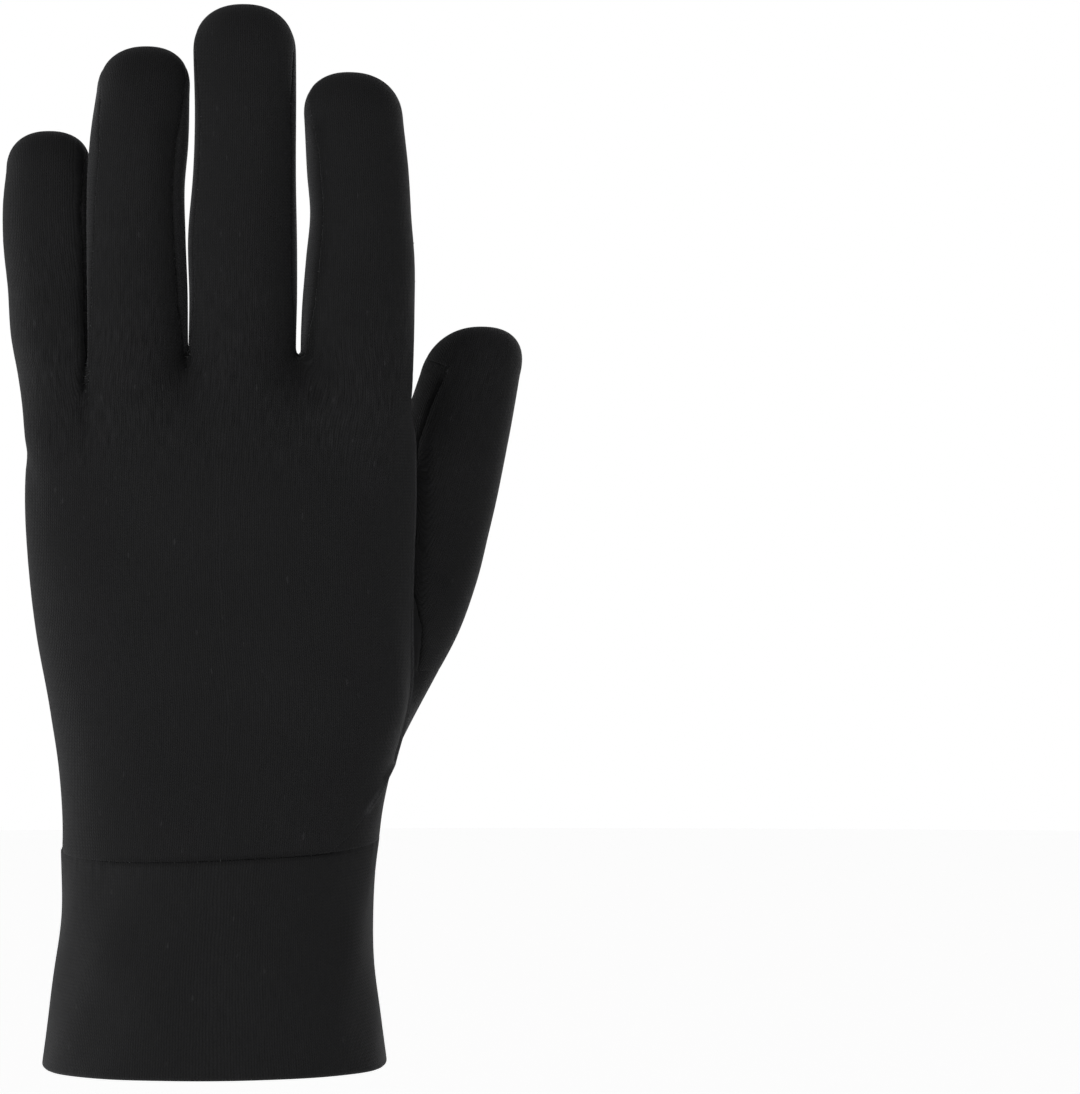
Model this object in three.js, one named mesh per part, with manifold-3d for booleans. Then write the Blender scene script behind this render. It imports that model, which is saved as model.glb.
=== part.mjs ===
// A left-hand knit dress glove, filled out as it is when worn, fingers up.
// Units are millimetres. +Z runs from the cuff's opening to the fingertips, the back
// of the hand faces -Y, the palm faces +Y and the thumb is on the +X side. The origin
// is the middle of the cuff's opening, where the hand goes in.
//
// Each piece of cloth is a slice of a shell that lies between an outer and an inner
// form. A form is a union of lofted tubes through level sections: one tube for the
// hand, one for each finger and one for the thumb.

import * as THREE from "three";
import { mergeVertices } from "three/addons/utils/BufferGeometryUtils.js";
import Module from "manifold-3d";

const wasm = await Module();
wasm.setup();

// Cloth
const WALL = 1.6; // one layer of knit
const CUFF_WALL = 2.4; // the cuff is knit folded double
const SEAM_GAP = 0.3; // between two panels that are sewn together

// Sides of each tube's sections, and how square they are: 2 is an ellipse
const FINGER_SIDES = 18;
const THUMB_SIDES = 20;
const HAND_SIDES = 36;
const HAND_SQUARENESS = 2.5;
const CUFF_SQUARENESS = 2.2;
const FINGER_SQUARENESS = 2.2;

const REACH = 100; // a cutting solid runs at least this far past the glove
const OVERRUN = 1; // and past an open end or a neighbouring cutting solid by this

// The wrist seam lies in a tilted plane: z = height + risesToThumb * x + risesToPalm * y
const WRIST_SEAM = { height: 54.3, risesToThumb: 0.042, risesToPalm: 0.083 };

// Level sections. back and palm are the heights along Y of the two faces, and hollow
// is the dip in the middle of the palm.
const HAND = table(
  ["z", "x", "halfWidth", "back", "palm", "hollow"],
  [
    [46, 1.0, 37.6, -24.6, 23.0, 0],
    [60, 1.9, 38.3, -23.2, 21.4, 0],
    [72, 2.8, 40.0, -21.8, 19.4, 0],
    [86, 3.3, 42.7, -20.6, 17.2, 1.5],
    [104, 2.0, 44.7, -19.6, 15.0, 4.0],
    [122, 1.3, 45.9, -18.8, 13.0, 5.5],
    [140, 1.3, 46.2, -18.2, 11.0, 5.0],
    [152, 1.6, 45.7, -17.4, 9.2, 3.5],
    [160, 1.8, 44.6, -15.4, 7.0, 2.0],
    [166, 1.8, 42.4, -12.6, 4.0, 0],
    [171, 2.4, 38.6, -8.6, 0.6, 0],
  ],
);
const HOLLOW = { x: 6, halfSpread: 25 };

// Each finger's first two rows are its root inside the hand, and the third is its
// heel, the rounded pad that overhangs the palm. Its side strips lie nearer the back
// than its middle by stripToBack.
const FINGER_COLUMNS = ["z", "x", "halfWidth", "back", "palm"];
const FINGERS = {
  index: {
    tip: 238.2,
    stripToBack: 1.2,
    rows: table(FINGER_COLUMNS, [
      [143, 33.8, 9.5, -13.6, 2.0],
      [155, 34.0, 12.4, -15.2, 4.0],
      [161, 34.1, 13.1, -15.6, 8.0],
      [168, 34.1, 13.4, -15.4, 8.6],
      [180, 34.4, 13.4, -15.0, 8.2],
      [193, 35.0, 12.9, -14.5, 7.8],
      [204, 34.9, 12.2, -13.9, 7.7],
      [214, 34.2, 12.3, -12.7, 8.2],
      [227, 33.3, 11.9, -11.2, 8.8],
    ]),
  },
  middle: {
    tip: 254.8,
    stripToBack: -1.0,
    rows: table(FINGER_COLUMNS, [
      [146, 7.3, 9.5, -15.8, 1.0],
      [159, 7.2, 12.4, -17.2, 3.6],
      [166, 7.1, 12.9, -17.1, 8.0],
      [173, 7.1, 13.0, -16.7, 8.6],
      [184, 7.0, 12.9, -16.1, 8.0],
      [198, 6.8, 13.0, -15.2, 7.6],
      [214, 7.1, 12.3, -14.0, 7.8],
      [230, 7.3, 12.1, -12.2, 8.6],
      [243, 7.1, 12.3, -10.4, 9.4],
    ]),
  },
  ring: {
    tip: 244.3,
    stripToBack: 1.0,
    rows: table(FINGER_COLUMNS, [
      [145, -18.6, 9.0, -15.2, 1.0],
      [158, -19.1, 11.9, -16.4, 4.0],
      [165, -19.2, 12.4, -16.2, 8.4],
      [172, -19.3, 12.4, -15.8, 9.0],
      [184, -19.2, 12.3, -15.1, 8.4],
      [198, -19.1, 12.1, -14.1, 8.2],
      [210, -19.1, 11.9, -13.0, 8.4],
      [221, -18.2, 11.9, -11.8, 8.8],
      [233.5, -16.9, 11.1, -10.2, 9.8],
    ]),
  },
  little: {
    tip: 224.2,
    stripToBack: 0.6,
    rows: table(FINGER_COLUMNS, [
      [137, -32.8, 8.5, -12.0, 2.0],
      [149, -33.8, 10.9, -13.4, 5.0],
      [156, -34.2, 11.4, -13.3, 9.4],
      [164, -35.1, 11.8, -12.9, 10.0],
      [174, -36.7, 12.0, -12.3, 9.6],
      [186, -37.8, 11.6, -11.3, 9.6],
      [198, -39.2, 11.3, -10.0, 10.0],
      [207, -39.6, 10.9, -8.8, 10.4],
      [214.4, -39.6, 10.2, -7.6, 10.8],
    ]),
  },
};
const THUMB = {
  tip: 178.4,
  rows: table(FINGER_COLUMNS, [
    [66, 24.5, 13.0, -5.0, 18.0],
    [80, 30.0, 15.8, -5.0, 20.6],
    [92, 35.8, 17.2, -3.4, 22.8],
    [104, 41.8, 17.7, -1.4, 24.6],
    [116, 47.0, 16.8, -0.2, 25.4],
    [128, 51.2, 15.2, 1.0, 25.6],
    [140, 55.0, 14.1, 1.8, 25.8],
    [153, 58.6, 13.3, 3.0, 26.4],
    [166.6, 62.2, 12.3, 5.0, 27.2],
  ]),
};
// A tip's rings: their heights as shares of its rounding, and how square it is
const TIP_SHARES = [0.4, 0.72, 0.92, 0.995];
const TIP_SQUARENESS = 2.3;

// The ring and little fingers are pressed together along a slanted plane
const PRESSED = { x: -28.5, y: 1.0, slantDeg: 18, low: 140, high: 262 };

const CUFF = table(
  ["z", "x", "halfWidth", "back", "palm"],
  [
    [0, 0, 40.2, -30.6, 27.0],
    [1.2, 0, 41.2, -31.6, 28.0],
    [10, 0, 40.0, -30.0, 27.0],
    [24, 0, 38.2, -27.4, 25.4],
    [36, 0.6, 37.3, -25.4, 23.8],
    [46, 1.0, 37.5, -24.6, 23.0],
    [64, 2.2, 38.8, -22.8, 20.8],
  ],
);

// The side seams: how high along Y the back parts from the palm at each height
const PARTING = table(
  ["z", "y"],
  [
    [40, -1],
    [150, -4],
    [180, -4],
    [200, -3.4],
    [222, -2],
    [255, 0.5],
  ],
);
const TIP_SEAM_BELOW = 6.5; // the back panel turns over each fingertip down to here

// Where the palm panel wraps round the thumb's side on to the back of the wrist
const WRAP = table(
  ["z", "x"],
  [
    [40, 12],
    [51.6, 26.6],
    [56, 32.6],
    [59.4, 35.8],
    [67, 40.6],
    [78, 46],
    [86, 60],
  ],
);

// The upright columns that hold one fingertip each, from one X to the other
const COLUMNS = {
  index: { from: 20.5, to: REACH },
  middle: { from: -5.35, to: 20.5 },
  ring: { from: -31.4, to: -5.35 },
  little: { from: -REACH, to: -31.4 },
};
const COLUMN_FOOT = 196;

// Where two fingers part, and the strips that are sewn in between them: half a strip's
// width at each share of the way from its foot to a fingertip
const CROTCHES = {
  index_middle: { x: 20.4, z: 171 },
  middle_ring: { x: -6.4, z: 168.5 },
  ring_little: { x: -30.4, z: 161 },
};
const STRIP = table(
  ["share", "halfWidth"],
  [
    [0, 4.8],
    [0.2, 6.4],
    [0.7, 6.0],
    [0.88, 3.6],
    [0.94, 0.6],
  ],
);
const STRIP_BELOW_CROTCH = 6;
const STRIP_CENTRE_HEIGHT = 30; // above its foot, where a finger's middle is measured
const LEG_LAP = 0.2; // how far a strip's two legs run past each other

// The thumb panel's seams: x on its palm side, x on its inner back, and the height y
// between the two
const THUMB_SEAMS = table(
  ["z", "palmX", "backX", "y"],
  [
    [94.4, 39.4, 47.0, 9.6],
    [101.5, 43.7, 47.2, 11.2],
    [108.2, 47.7, 47.3, 12.0],
    [124.8, 54.9, 47.3, 12.6],
    [136.3, 58.9, 47.3, 13.4],
    [149.5, 62.9, 48.8, 14.4],
    [159.0, 66.4, 52.1, 15.4],
    [168.0, 70.0, 56.4, 16.4],
    [171.5, 48.0, 48.0, 16.6],
  ],
);
const THUMB_PANEL_BACK = -0.4; // the panel stays on the palm's side of this height
const THUMB_PANEL_RISE = 12; // its last seam row is carried up past the tip

// Rows of numbers under named columns
function table(columns, rows) {
  return rows.map((row) =>
    Object.fromEntries(columns.map((name, i) => [name, row[i]])),
  );
}

// A table's value at a place between its rows, by straight lines
function between(rows, key, at, column) {
  const last = rows.length - 1;
  const i = rows.findIndex((row) => row[key] >= at);
  if (i <= 0) return rows[i < 0 ? last : 0][column];
  const share = (at - rows[i - 1][key]) / (rows[i][key] - rows[i - 1][key]);
  return THREE.MathUtils.lerp(rows[i - 1][column], rows[i][column], share);
}

function solidOf(geometry) {
  const bare = new THREE.BufferGeometry();
  bare.setAttribute("position", geometry.getAttribute("position"));
  bare.setIndex(geometry.getIndex());
  const merged = mergeVertices(bare, 1e-4);
  return new wasm.Manifold(
    new wasm.Mesh({
      numProp: 3,
      vertProperties: new Float32Array(merged.attributes.position.array),
      triVerts: new Uint32Array(merged.index.array),
    }),
  );
}

function geometryOf(solid) {
  const mesh = solid.getMesh();
  const geometry = new THREE.BufferGeometry();
  geometry.setAttribute("position", new THREE.BufferAttribute(mesh.vertProperties, 3));
  geometry.setIndex(new THREE.BufferAttribute(mesh.triVerts, 1));
  geometry.computeVertexNormals();
  return geometry;
}

function joined(solids) {
  return solids.reduce((whole, solid) => whole.add(solid));
}

// A closed solid through rings of points, all with the same count, low ring first
function loft(rings) {
  const sides = rings[0].length;
  const faces = [];
  for (let r = 0; r + 1 < rings.length; r++) {
    for (let i = 0; i < sides; i++) {
      const a = r * sides + i;
      const b = r * sides + ((i + 1) % sides);
      faces.push(a, b, b + sides, a, b + sides, a + sides);
    }
  }
  const low = rings.length * sides;
  const high = low + 1;
  const top = low - sides;
  for (let i = 0; i < sides; i++) {
    const j = (i + 1) % sides;
    faces.push(low, j, i, high, top + i, top + j);
  }
  const middles = [rings[0], rings.at(-1)].map((ring) =>
    ring.reduce((sum, p) => sum.add(p), new THREE.Vector3()).divideScalar(sides),
  );
  const geometry = new THREE.BufferGeometry();
  geometry.setFromPoints([...rings.flat(), ...middles]);
  geometry.setIndex(faces);
  return solidOf(geometry);
}

// A level ring with rounded corners; inset draws it in by a wall's thickness
function levelRing(row, sides, squareness, inset = 0) {
  const middle = (row.back + row.palm) / 2;
  const halfDepth = (row.palm - row.back) / 2 - inset;
  const power = 2 / squareness;
  const rounded = (wave) => Math.sign(wave) * Math.abs(wave) ** power;
  return Array.from({ length: sides }, (_, i) => {
    const turn = (2 * Math.PI * i) / sides;
    const deep = rounded(Math.sin(turn));
    const x = row.x + rounded(Math.cos(turn)) * (row.halfWidth - inset);
    const dip = Math.exp(-(((x - HOLLOW.x) / HOLLOW.halfSpread) ** 2));
    const hollow = deep > 0 ? (row.hollow ?? 0) * dip * deep : 0;
    return new THREE.Vector3(x, middle + deep * halfDepth - hollow, row.z);
  });
}

// A finger's or the thumb's tube, rounded off above its last row
function digit({ tip, rows }, sides, inset = 0) {
  const end = rows.at(-1);
  const before = rows.at(-2);
  const rise = tip - inset - end.z;
  const slope = (key) => (end[key] - before[key]) / (end.z - before.z);
  const middle = (end.back + end.palm) / 2;
  const lean = { x: slope("x"), y: (slope("back") + slope("palm")) / 2 };
  const cap = TIP_SHARES.map((share) => {
    const left = (1 - share ** TIP_SQUARENESS) ** (1 / TIP_SQUARENESS);
    const up = rise * share;
    const halfDepth = inset + ((end.palm - end.back) / 2 - inset) * left;
    const y = middle + lean.y * up;
    return {
      z: end.z + up,
      x: end.x + lean.x * up,
      halfWidth: inset + (end.halfWidth - inset) * left,
      back: y - halfDepth,
      palm: y + halfDepth,
    };
  });
  const all = [...rows, ...cap];
  return loft(all.map((row) => levelRing(row, sides, FINGER_SQUARENESS, inset)));
}

// A straight prism of an outline of [y, z] points, from x = from to x = to
function prismAlongX(outline, from, to) {
  const shape = new THREE.Shape(outline.map(([y, z]) => new THREE.Vector2(y, z)));
  const geometry = new THREE.ExtrudeGeometry(shape, {
    depth: to - from,
    bevelEnabled: false,
  });
  // The shape's x and y become Y and Z, and its depth becomes X
  geometry.applyMatrix4(
    new THREE.Matrix4().set(0, 0, 1, from, 1, 0, 0, 0, 0, 1, 0, 0, 0, 0, 0, 1),
  );
  return solidOf(geometry);
}

// A straight prism of an outline of [x, z] points, from y = to - depth to y = to
function prismAlongY(outline, depth, to) {
  const shape = new THREE.Shape(outline.map(([x, z]) => new THREE.Vector2(x, z)));
  const geometry = new THREE.ExtrudeGeometry(shape, { depth, bevelEnabled: false });
  // The shape's x and y become X and Z, and its depth becomes -Y
  geometry.applyMatrix4(
    new THREE.Matrix4().set(1, 0, 0, 0, 0, 0, -1, to, 0, 1, 0, 0, 0, 0, 0, 1),
  );
  return solidOf(geometry);
}

// The space under the wrist seam's plane, moved up by a distance
function belowWristSeam(up) {
  const size = 4 * REACH;
  const normal = new THREE.Vector3(
    -WRIST_SEAM.risesToThumb,
    -WRIST_SEAM.risesToPalm,
    1,
  ).normalize();
  const turn = new THREE.Quaternion().setFromUnitVectors(
    new THREE.Vector3(0, 0, 1),
    normal,
  );
  const middle = normal.clone().multiplyScalar(up - size / 2);
  middle.z += WRIST_SEAM.height;
  const box = new THREE.BoxGeometry(size, size, size);
  box.applyMatrix4(
    new THREE.Matrix4().compose(middle, turn, new THREE.Vector3(1, 1, 1)),
  );
  return solidOf(box);
}

// The space on one side of the plane where the ring and little fingers press together:
// side is -1 on the little finger's side and 1 on the ring finger's
function besidePressed(side, clearance) {
  const height = PRESSED.high - PRESSED.low;
  const box = new THREE.BoxGeometry(REACH, REACH, height);
  box.translate(side * (REACH / 2 + clearance), 0, 0);
  box.rotateZ(THREE.MathUtils.degToRad(-PRESSED.slantDeg));
  box.translate(PRESSED.x, PRESSED.y, PRESSED.low + height / 2);
  return solidOf(box);
}

// The whole glove above the wrist, drawn in by inset: 0 outside, WALL inside
function handForm(inset) {
  const rings = HAND.map((row) => levelRing(row, HAND_SIDES, HAND_SQUARENESS, inset));
  rings.at(-1).forEach((p) => (p.z -= inset));
  if (inset > 0) rings[0].forEach((p) => (p.z -= OVERRUN));
  const clearance = -SEAM_GAP / 2 - inset;
  const fingers = Object.entries(FINGERS).map(([name, finger]) => {
    const tube = digit(finger, FINGER_SIDES, inset);
    if (name === "ring") return tube.subtract(besidePressed(-1, clearance));
    if (name === "little") return tube.subtract(besidePressed(1, clearance));
    return tube;
  });
  return joined([loft(rings), digit(THUMB, THUMB_SIDES, inset), ...fingers]);
}

// The space that the palm panel may take, drawn back from its seams by clearance: one
// slab for the whole hand as far up as the shortest finger's seam, and a column for
// each longer finger
function palmZone(clearance) {
  const seamHeight = (tip) => tip - TIP_SEAM_BELOW - clearance;
  const slab = (low, high, from, to) => {
    const seam = [
      { z: low, y: between(PARTING, "z", low, "y") },
      ...PARTING.filter(({ z }) => z > low && z < high),
      { z: high, y: between(PARTING, "z", high, "y") },
    ].map(({ y, z }) => [y + clearance, z]);
    return prismAlongX([...seam, [REACH, high], [REACH, low]].reverse(), from, to);
  };
  const columns = Object.entries(FINGERS).map(([name, { tip }]) => {
    const { from, to } = COLUMNS[name];
    return slab(COLUMN_FOOT, seamHeight(tip), from, to);
  });
  const shortest = Math.min(...Object.values(FINGERS).map(({ tip }) => tip));
  const hand = slab(PARTING[0].z, seamHeight(shortest), -REACH, REACH);
  const edge = WRAP.map(({ z, x }) => [x + clearance, z]);
  const wrap = [...edge, [REACH, WRAP.at(-1).z], [REACH, WRAP[0].z]].reverse();
  return joined([hand, ...columns, prismAlongY(wrap, REACH, OVERRUN)]);
}

// The space that the strip between two fingers takes, grown past its seams by spare
function stripZone(name, next, spare) {
  const { x: middle, z: crotch } = CROTCHES[`${name}_${next}`];
  const foot = crotch - STRIP_BELOW_CROTCH;
  const legs = [name, next].map((finger, i) => {
    const { rows, tip, stripToBack } = FINGERS[finger];
    const edges = STRIP.map(({ share, halfWidth }) => {
      const z = foot + share * (tip - foot);
      const faces = between(rows, "z", z, "back") + between(rows, "z", z, "palm");
      const y = faces / 2 - stripToBack;
      return { z, low: y - halfWidth - spare, high: y + halfWidth + spare };
    });
    const palmEdge = edges.map(({ z, high }) => [high, z]);
    const backEdge = edges.map(({ z, low }) => [low, z]).reverse();
    const centre = between(rows, "z", foot + STRIP_CENTRE_HEIGHT, "x");
    const [from, to] = i === 0 ? [middle - LEG_LAP, centre] : [centre, middle + LEG_LAP];
    return prismAlongX([...palmEdge, ...backEdge], from, to);
  });
  return joined(legs);
}

// The space that the thumb panel takes, grown past its seams by spare
function thumbZone(spare) {
  const back = THUMB_PANEL_BACK - spare;
  const far = 2 * REACH;
  const rings = THUMB_SEAMS.map(({ z, palmX, backX, y }) =>
    [
      [palmX - spare, far],
      [palmX - spare, y],
      [backX - spare, y],
      [backX - spare, back],
      [far, back],
      [far, far],
    ].map(([px, py]) => new THREE.Vector3(px, py, z)),
  );
  rings[0].forEach((p) => (p.z -= spare));
  rings.push(rings.at(-1).map((p) => p.clone().setZ(p.z + THUMB_PANEL_RISE)));
  return loft(rings);
}

function cuffSolid() {
  const outer = CUFF.map((row) => levelRing(row, HAND_SIDES, CUFF_SQUARENESS));
  const inner = CUFF.map((row) => levelRing(row, HAND_SIDES, CUFF_SQUARENESS, CUFF_WALL));
  inner[0].forEach((p) => (p.z -= OVERRUN));
  inner.at(-1).forEach((p) => (p.z += OVERRUN));
  return loft(outer).subtract(loft(inner)).intersect(belowWristSeam(-SEAM_GAP / 2));
}

function piece(name, solid, look) {
  const mesh = new THREE.Mesh(geometryOf(solid), new THREE.MeshStandardMaterial(look));
  mesh.name = name;
  return mesh;
}

const half = SEAM_GAP / 2;
const pairs = [
  ["index", "middle"],
  ["middle", "ring"],
  ["ring", "little"],
];
const shell = handForm(0).subtract(handForm(WALL)).subtract(belowWristSeam(half));
const strips = pairs.map(([a, b]) => shell.intersect(stripZone(a, b, -half)));
const panels = shell.subtract(joined(pairs.map(([a, b]) => stripZone(a, b, half))));
const thumb = panels.intersect(thumbZone(-half));
const hand = panels.subtract(thumbZone(half));
const palm = hand.intersect(palmZone(half));
const back = hand.subtract(palmZone(-half));

const knit = { color: 0x1c1c1d, roughness: 0.94, metalness: 0 };
const doubledKnit = { ...knit, color: 0x1e1e1f };
const sideKnit = { ...knit, color: 0x18181a };

const glove = new THREE.Group();
glove.add(piece("cuff", cuffSolid(), doubledKnit));
glove.add(piece("back_panel", back, knit));
glove.add(piece("palm_panel", palm, knit));
glove.add(piece("thumb_panel", thumb, knit));
pairs.forEach(([a, b], i) => glove.add(piece(`fourchette_${a}_${b}`, strips[i], sideKnit)));

export default glove;
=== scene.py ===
"""A left-hand knit dress glove, filled out as it is when worn, with its fingers up.

The hand of the glove is one smooth form: the level set of a field that joins a tube for
the hand, one for each finger and one for the thumb. The form is cut along its seams into
panels, and each panel becomes a thin wall of cloth whose edges roll into the seams. The
cuff is a folded band, and the seams are held by short stitches.

Lengths are worked out in millimetres and put into the meshes in metres. +Z runs from the
cuff to the fingertips, the back of the hand faces -Y and the thumb is on the +X side.
"""

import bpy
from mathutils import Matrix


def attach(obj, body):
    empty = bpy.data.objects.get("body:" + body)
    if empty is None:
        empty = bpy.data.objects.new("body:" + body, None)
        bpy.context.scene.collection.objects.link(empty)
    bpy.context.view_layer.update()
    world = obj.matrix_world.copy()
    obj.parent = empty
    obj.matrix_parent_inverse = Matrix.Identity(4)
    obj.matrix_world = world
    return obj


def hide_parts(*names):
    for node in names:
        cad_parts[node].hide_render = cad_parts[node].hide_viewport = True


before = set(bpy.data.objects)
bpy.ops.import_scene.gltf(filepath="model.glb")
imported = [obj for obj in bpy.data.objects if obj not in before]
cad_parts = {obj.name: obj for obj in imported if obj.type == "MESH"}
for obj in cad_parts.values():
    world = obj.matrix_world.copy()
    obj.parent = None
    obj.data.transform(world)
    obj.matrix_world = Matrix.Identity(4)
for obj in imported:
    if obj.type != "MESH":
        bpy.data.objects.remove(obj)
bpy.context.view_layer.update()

import logging
import math
from collections.abc import Callable, Iterable
from dataclasses import dataclass
from enum import Enum
from typing import NamedTuple

import bpy
import numpy as np

Array = np.ndarray
Field = Callable[[Array], Array]
Socket = bpy.types.NodeSocket
Rgb = tuple[float, float, float]
Place = tuple[float, float, float]
Span = tuple[float, float]  # from one value to another
LOG = logging.getLogger("glove")
MM = 0.001  # metres in a millimetre
WHOLE_TURN = 2 * math.pi
SEAM_REACH = 4.0  # beyond this the distance to a seam isn't told apart
LAYER = 1500  # how many points are compared with the seams at a time
BUNCHED = (1.35, 2.1)  # from and to this steepness the wales bunch up
SHORT_EDGE = 0.25  # shorter edges tell no steepness
ROLL_SHARE = 0.98  # how much of a quarter turn the cloth's roll into a seam takes
PUCKER = np.array([1.9, 2.3, 1.55])  # the seams' unevenness, in radians a mm
PUCKER_SHARE = 0.2
STITCH_RINGS = 7
STITCH_SIDES = 6  # a ring's points: the faces that close the ends are made for six


class Section(NamedTuple):
    """A level cut through a tube: its height, middle, half width, two faces and dip."""

    z: float
    x: float
    half_width: float
    back: float
    palm: float
    hollow: float = 0.0


def sections(*rows: tuple[float, ...]) -> tuple[Section, ...]:
    """The level cuts through a tube, lowest first."""
    return tuple(Section(*row) for row in rows)


HAND_SECTIONS = sections(
    (38, 0.6, 37.4, -25.3, 23.7),
    (46, 1.0, 37.6, -24.6, 23.0),
    (60, 1.9, 38.3, -23.2, 21.4),
    (72, 2.8, 40.0, -21.8, 19.4),
    (86, 3.3, 42.7, -20.6, 17.2, 1.5),
    (104, 2.0, 44.7, -19.6, 15.0, 4.0),
    (122, 1.3, 45.9, -18.8, 13.0, 5.5),
    (140, 1.3, 46.2, -18.2, 11.0, 5.0),
    (152, 1.6, 45.7, -17.4, 8.6, 3.5),
    (160, 1.8, 44.6, -15.4, 6.2, 2.0),
    (166, 1.8, 42.4, -12.6, 4.2),
    (171, 2.4, 38.6, -8.6, 0.6),
)
INDEX_SECTIONS = sections(
    (143, 33.8, 9.5, -13.6, 2.0),
    (155, 34.0, 12.4, -15.2, 1.0),
    (161, 34.1, 13.1, -15.6, 5.2),
    (168, 34.0, 13.5, -15.4, 8.4),
    (180, 34.25, 13.5, -15.0, 8.2),
    (193, 34.85, 13.05, -14.5, 7.8),
    (204, 34.9, 12.2, -13.9, 7.7),
    (214, 34.2, 12.3, -12.7, 8.2),
    (227, 33.3, 11.9, -11.2, 8.8),
)
MIDDLE_SECTIONS = sections(
    (146, 7.3, 9.5, -15.8, 1.0),
    (159, 6.95, 12.4, -17.2, 0.0),
    (166, 6.6, 12.85, -17.1, 4.6),
    (173, 6.55, 12.85, -16.7, 8.2),
    (184, 6.7, 12.9, -16.1, 8.0),
    (198, 6.65, 13.0, -15.2, 7.6),
    (214, 7.1, 12.3, -14.0, 7.8),
    (230, 7.3, 12.1, -12.2, 8.6),
    (243, 7.1, 12.3, -10.4, 9.4),
)
RING_SECTIONS = sections(
    (145, -18.6, 9.0, -15.2, 1.0),
    (158, -19.0, 12.1, -16.4, 0.0),
    (165, -18.9, 12.7, -16.2, 4.8),
    (172, -19.0, 12.7, -15.8, 8.5),
    (184, -18.95, 12.6, -15.1, 8.4),
    (198, -19.1, 12.1, -14.1, 8.2),
    (210, -19.1, 11.9, -13.0, 8.4),
    (221, -18.2, 11.9, -11.8, 8.8),
    (233.5, -17.2, 11.1, -10.2, 9.8),
)
LITTLE_SECTIONS = sections(
    (137, -32.8, 8.5, -12.0, 2.0),
    (149, -33.8, 10.9, -13.4, 0.0),
    (156, -34.2, 11.4, -13.3, 3.6),
    (164, -35.1, 11.8, -12.9, 9.2),
    (174, -36.7, 12.0, -12.3, 9.6),
    (186, -37.8, 11.6, -11.3, 9.6),
    (198, -39.2, 11.3, -10.0, 10.0),
    (207, -39.6, 10.9, -8.8, 10.4),
    (214.4, -39.6, 10.2, -7.6, 10.8),
)
THUMB_SECTIONS = sections(
    (66, 24.5, 13.0, -5.0, 18.0),
    (80, 30.0, 15.8, -5.0, 20.6),
    (92, 35.8, 17.2, -3.4, 22.8),
    (104, 41.8, 17.7, -1.4, 24.6),
    (116, 47.0, 16.8, -0.2, 25.4),
    (128, 51.2, 15.2, 1.0, 25.6),
    (140, 55.0, 14.1, 1.8, 25.8),
    (153, 58.6, 13.3, 3.0, 26.4),
    (166.6, 62.2, 12.3, 5.0, 27.2),
)
CUFF_SECTIONS = sections(
    (0, 0, 41.3, -31.7, 28.1),
    (10, 0, 40.0, -30.0, 27.0),
    (24, 0, 38.2, -27.4, 25.4),
    (36, 0.6, 37.3, -25.4, 23.8),
    (46, 1.0, 37.5, -24.6, 23.0),
    (64, 2.2, 38.8, -22.8, 20.8),
)
HOLLOW_X = 6.0  # the middle of the dip in the palm, and how far it spreads
HOLLOW_SPREAD = 25.0

WRIST_SEAM = (53.6, 0.034, 0.116)  # the seam's height, and its rise a mm of x and of y

# The side seams: the height along Y where the back parts from the palm, at each z
PARTING_Z = (40, 150, 180, 200, 222, 255)
PARTING_Y = (-1, -4, -4, -3.4, -2, 0.5)

# Where the palm panel wraps round the thumb's side on to the back of the wrist
WRAP_Z = (40, 51.6, 56, 59.4, 67, 78, 86)
WRAP_X = (12, 26.6, 32.0, 34.9, 39.6, 45.6, 60)

# Half a side strip's width, at each share of the way from its foot to a fingertip
STRIP_SHARE = (0, 0.06, 0.2, 0.7, 0.88, 0.94)
STRIP_HALF_WIDTH = (1.6, 4.4, 6.4, 6.0, 3.6, 0.6)


class ThumbSeam(NamedTuple):
    """A row of the thumb panel's seams: x on its palm side and inner back, y between."""

    z: float
    palm_x: float
    back_x: float
    y: float


THUMB_SEAMS = (
    ThumbSeam(94.4, 39.4, 47.0, 9.6),
    ThumbSeam(101.5, 43.7, 47.2, 11.2),
    ThumbSeam(108.2, 47.7, 47.3, 12.0),
    ThumbSeam(124.8, 54.9, 47.3, 12.6),
    ThumbSeam(136.3, 58.9, 47.3, 13.4),
    ThumbSeam(149.5, 62.9, 48.8, 14.4),
    ThumbSeam(159.0, 66.4, 52.1, 15.4),
    ThumbSeam(168.0, 70.0, 56.4, 16.4),
    ThumbSeam(171.5, 48.0, 48.0, 16.6),
)


class Crease(NamedTuple):
    """A fold pressed into the cloth along a straight line, from one point to another."""

    start: Place
    end: Place
    depth: float
    width: float


CREASES = (
    Crease((47.4, 0.5, 125.5), (54.5, 1.5, 116.5), 0.55, 1.6),
    Crease((48.2, 0, 117.5), (50.5, 0.5, 108), 0.4, 1.5),
    Crease((40, 22.5, 94.5), (50, 17.5, 91), 0.9, 1.5),
    Crease((27, 8, 124.5), (34, 7.5, 130), 2.6, 6),
    Crease((26.5, 8.5, 130.8), (39, 7, 133.6), 1.9, 1.6),
)


class PaintedShadeStreak(NamedTuple):
    """A soft streak or spot of painted shade, or of painted light where its strength is under
    0.

    It runs from start to end. Its strength is under 0 where it is light.
    """

    start: Place
    end: Place
    radius: float
    strength: float


def painted_spot(place: Place, radius: float, strength: float) -> PaintedShadeStreak:
    """A round spot of painted shade or painted light."""
    return PaintedShadeStreak(place, place, radius, strength)


# Painted shade (strength over 0) and painted light (under 0), laid into the cloth's colour
# where shade falls or light catches
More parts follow.
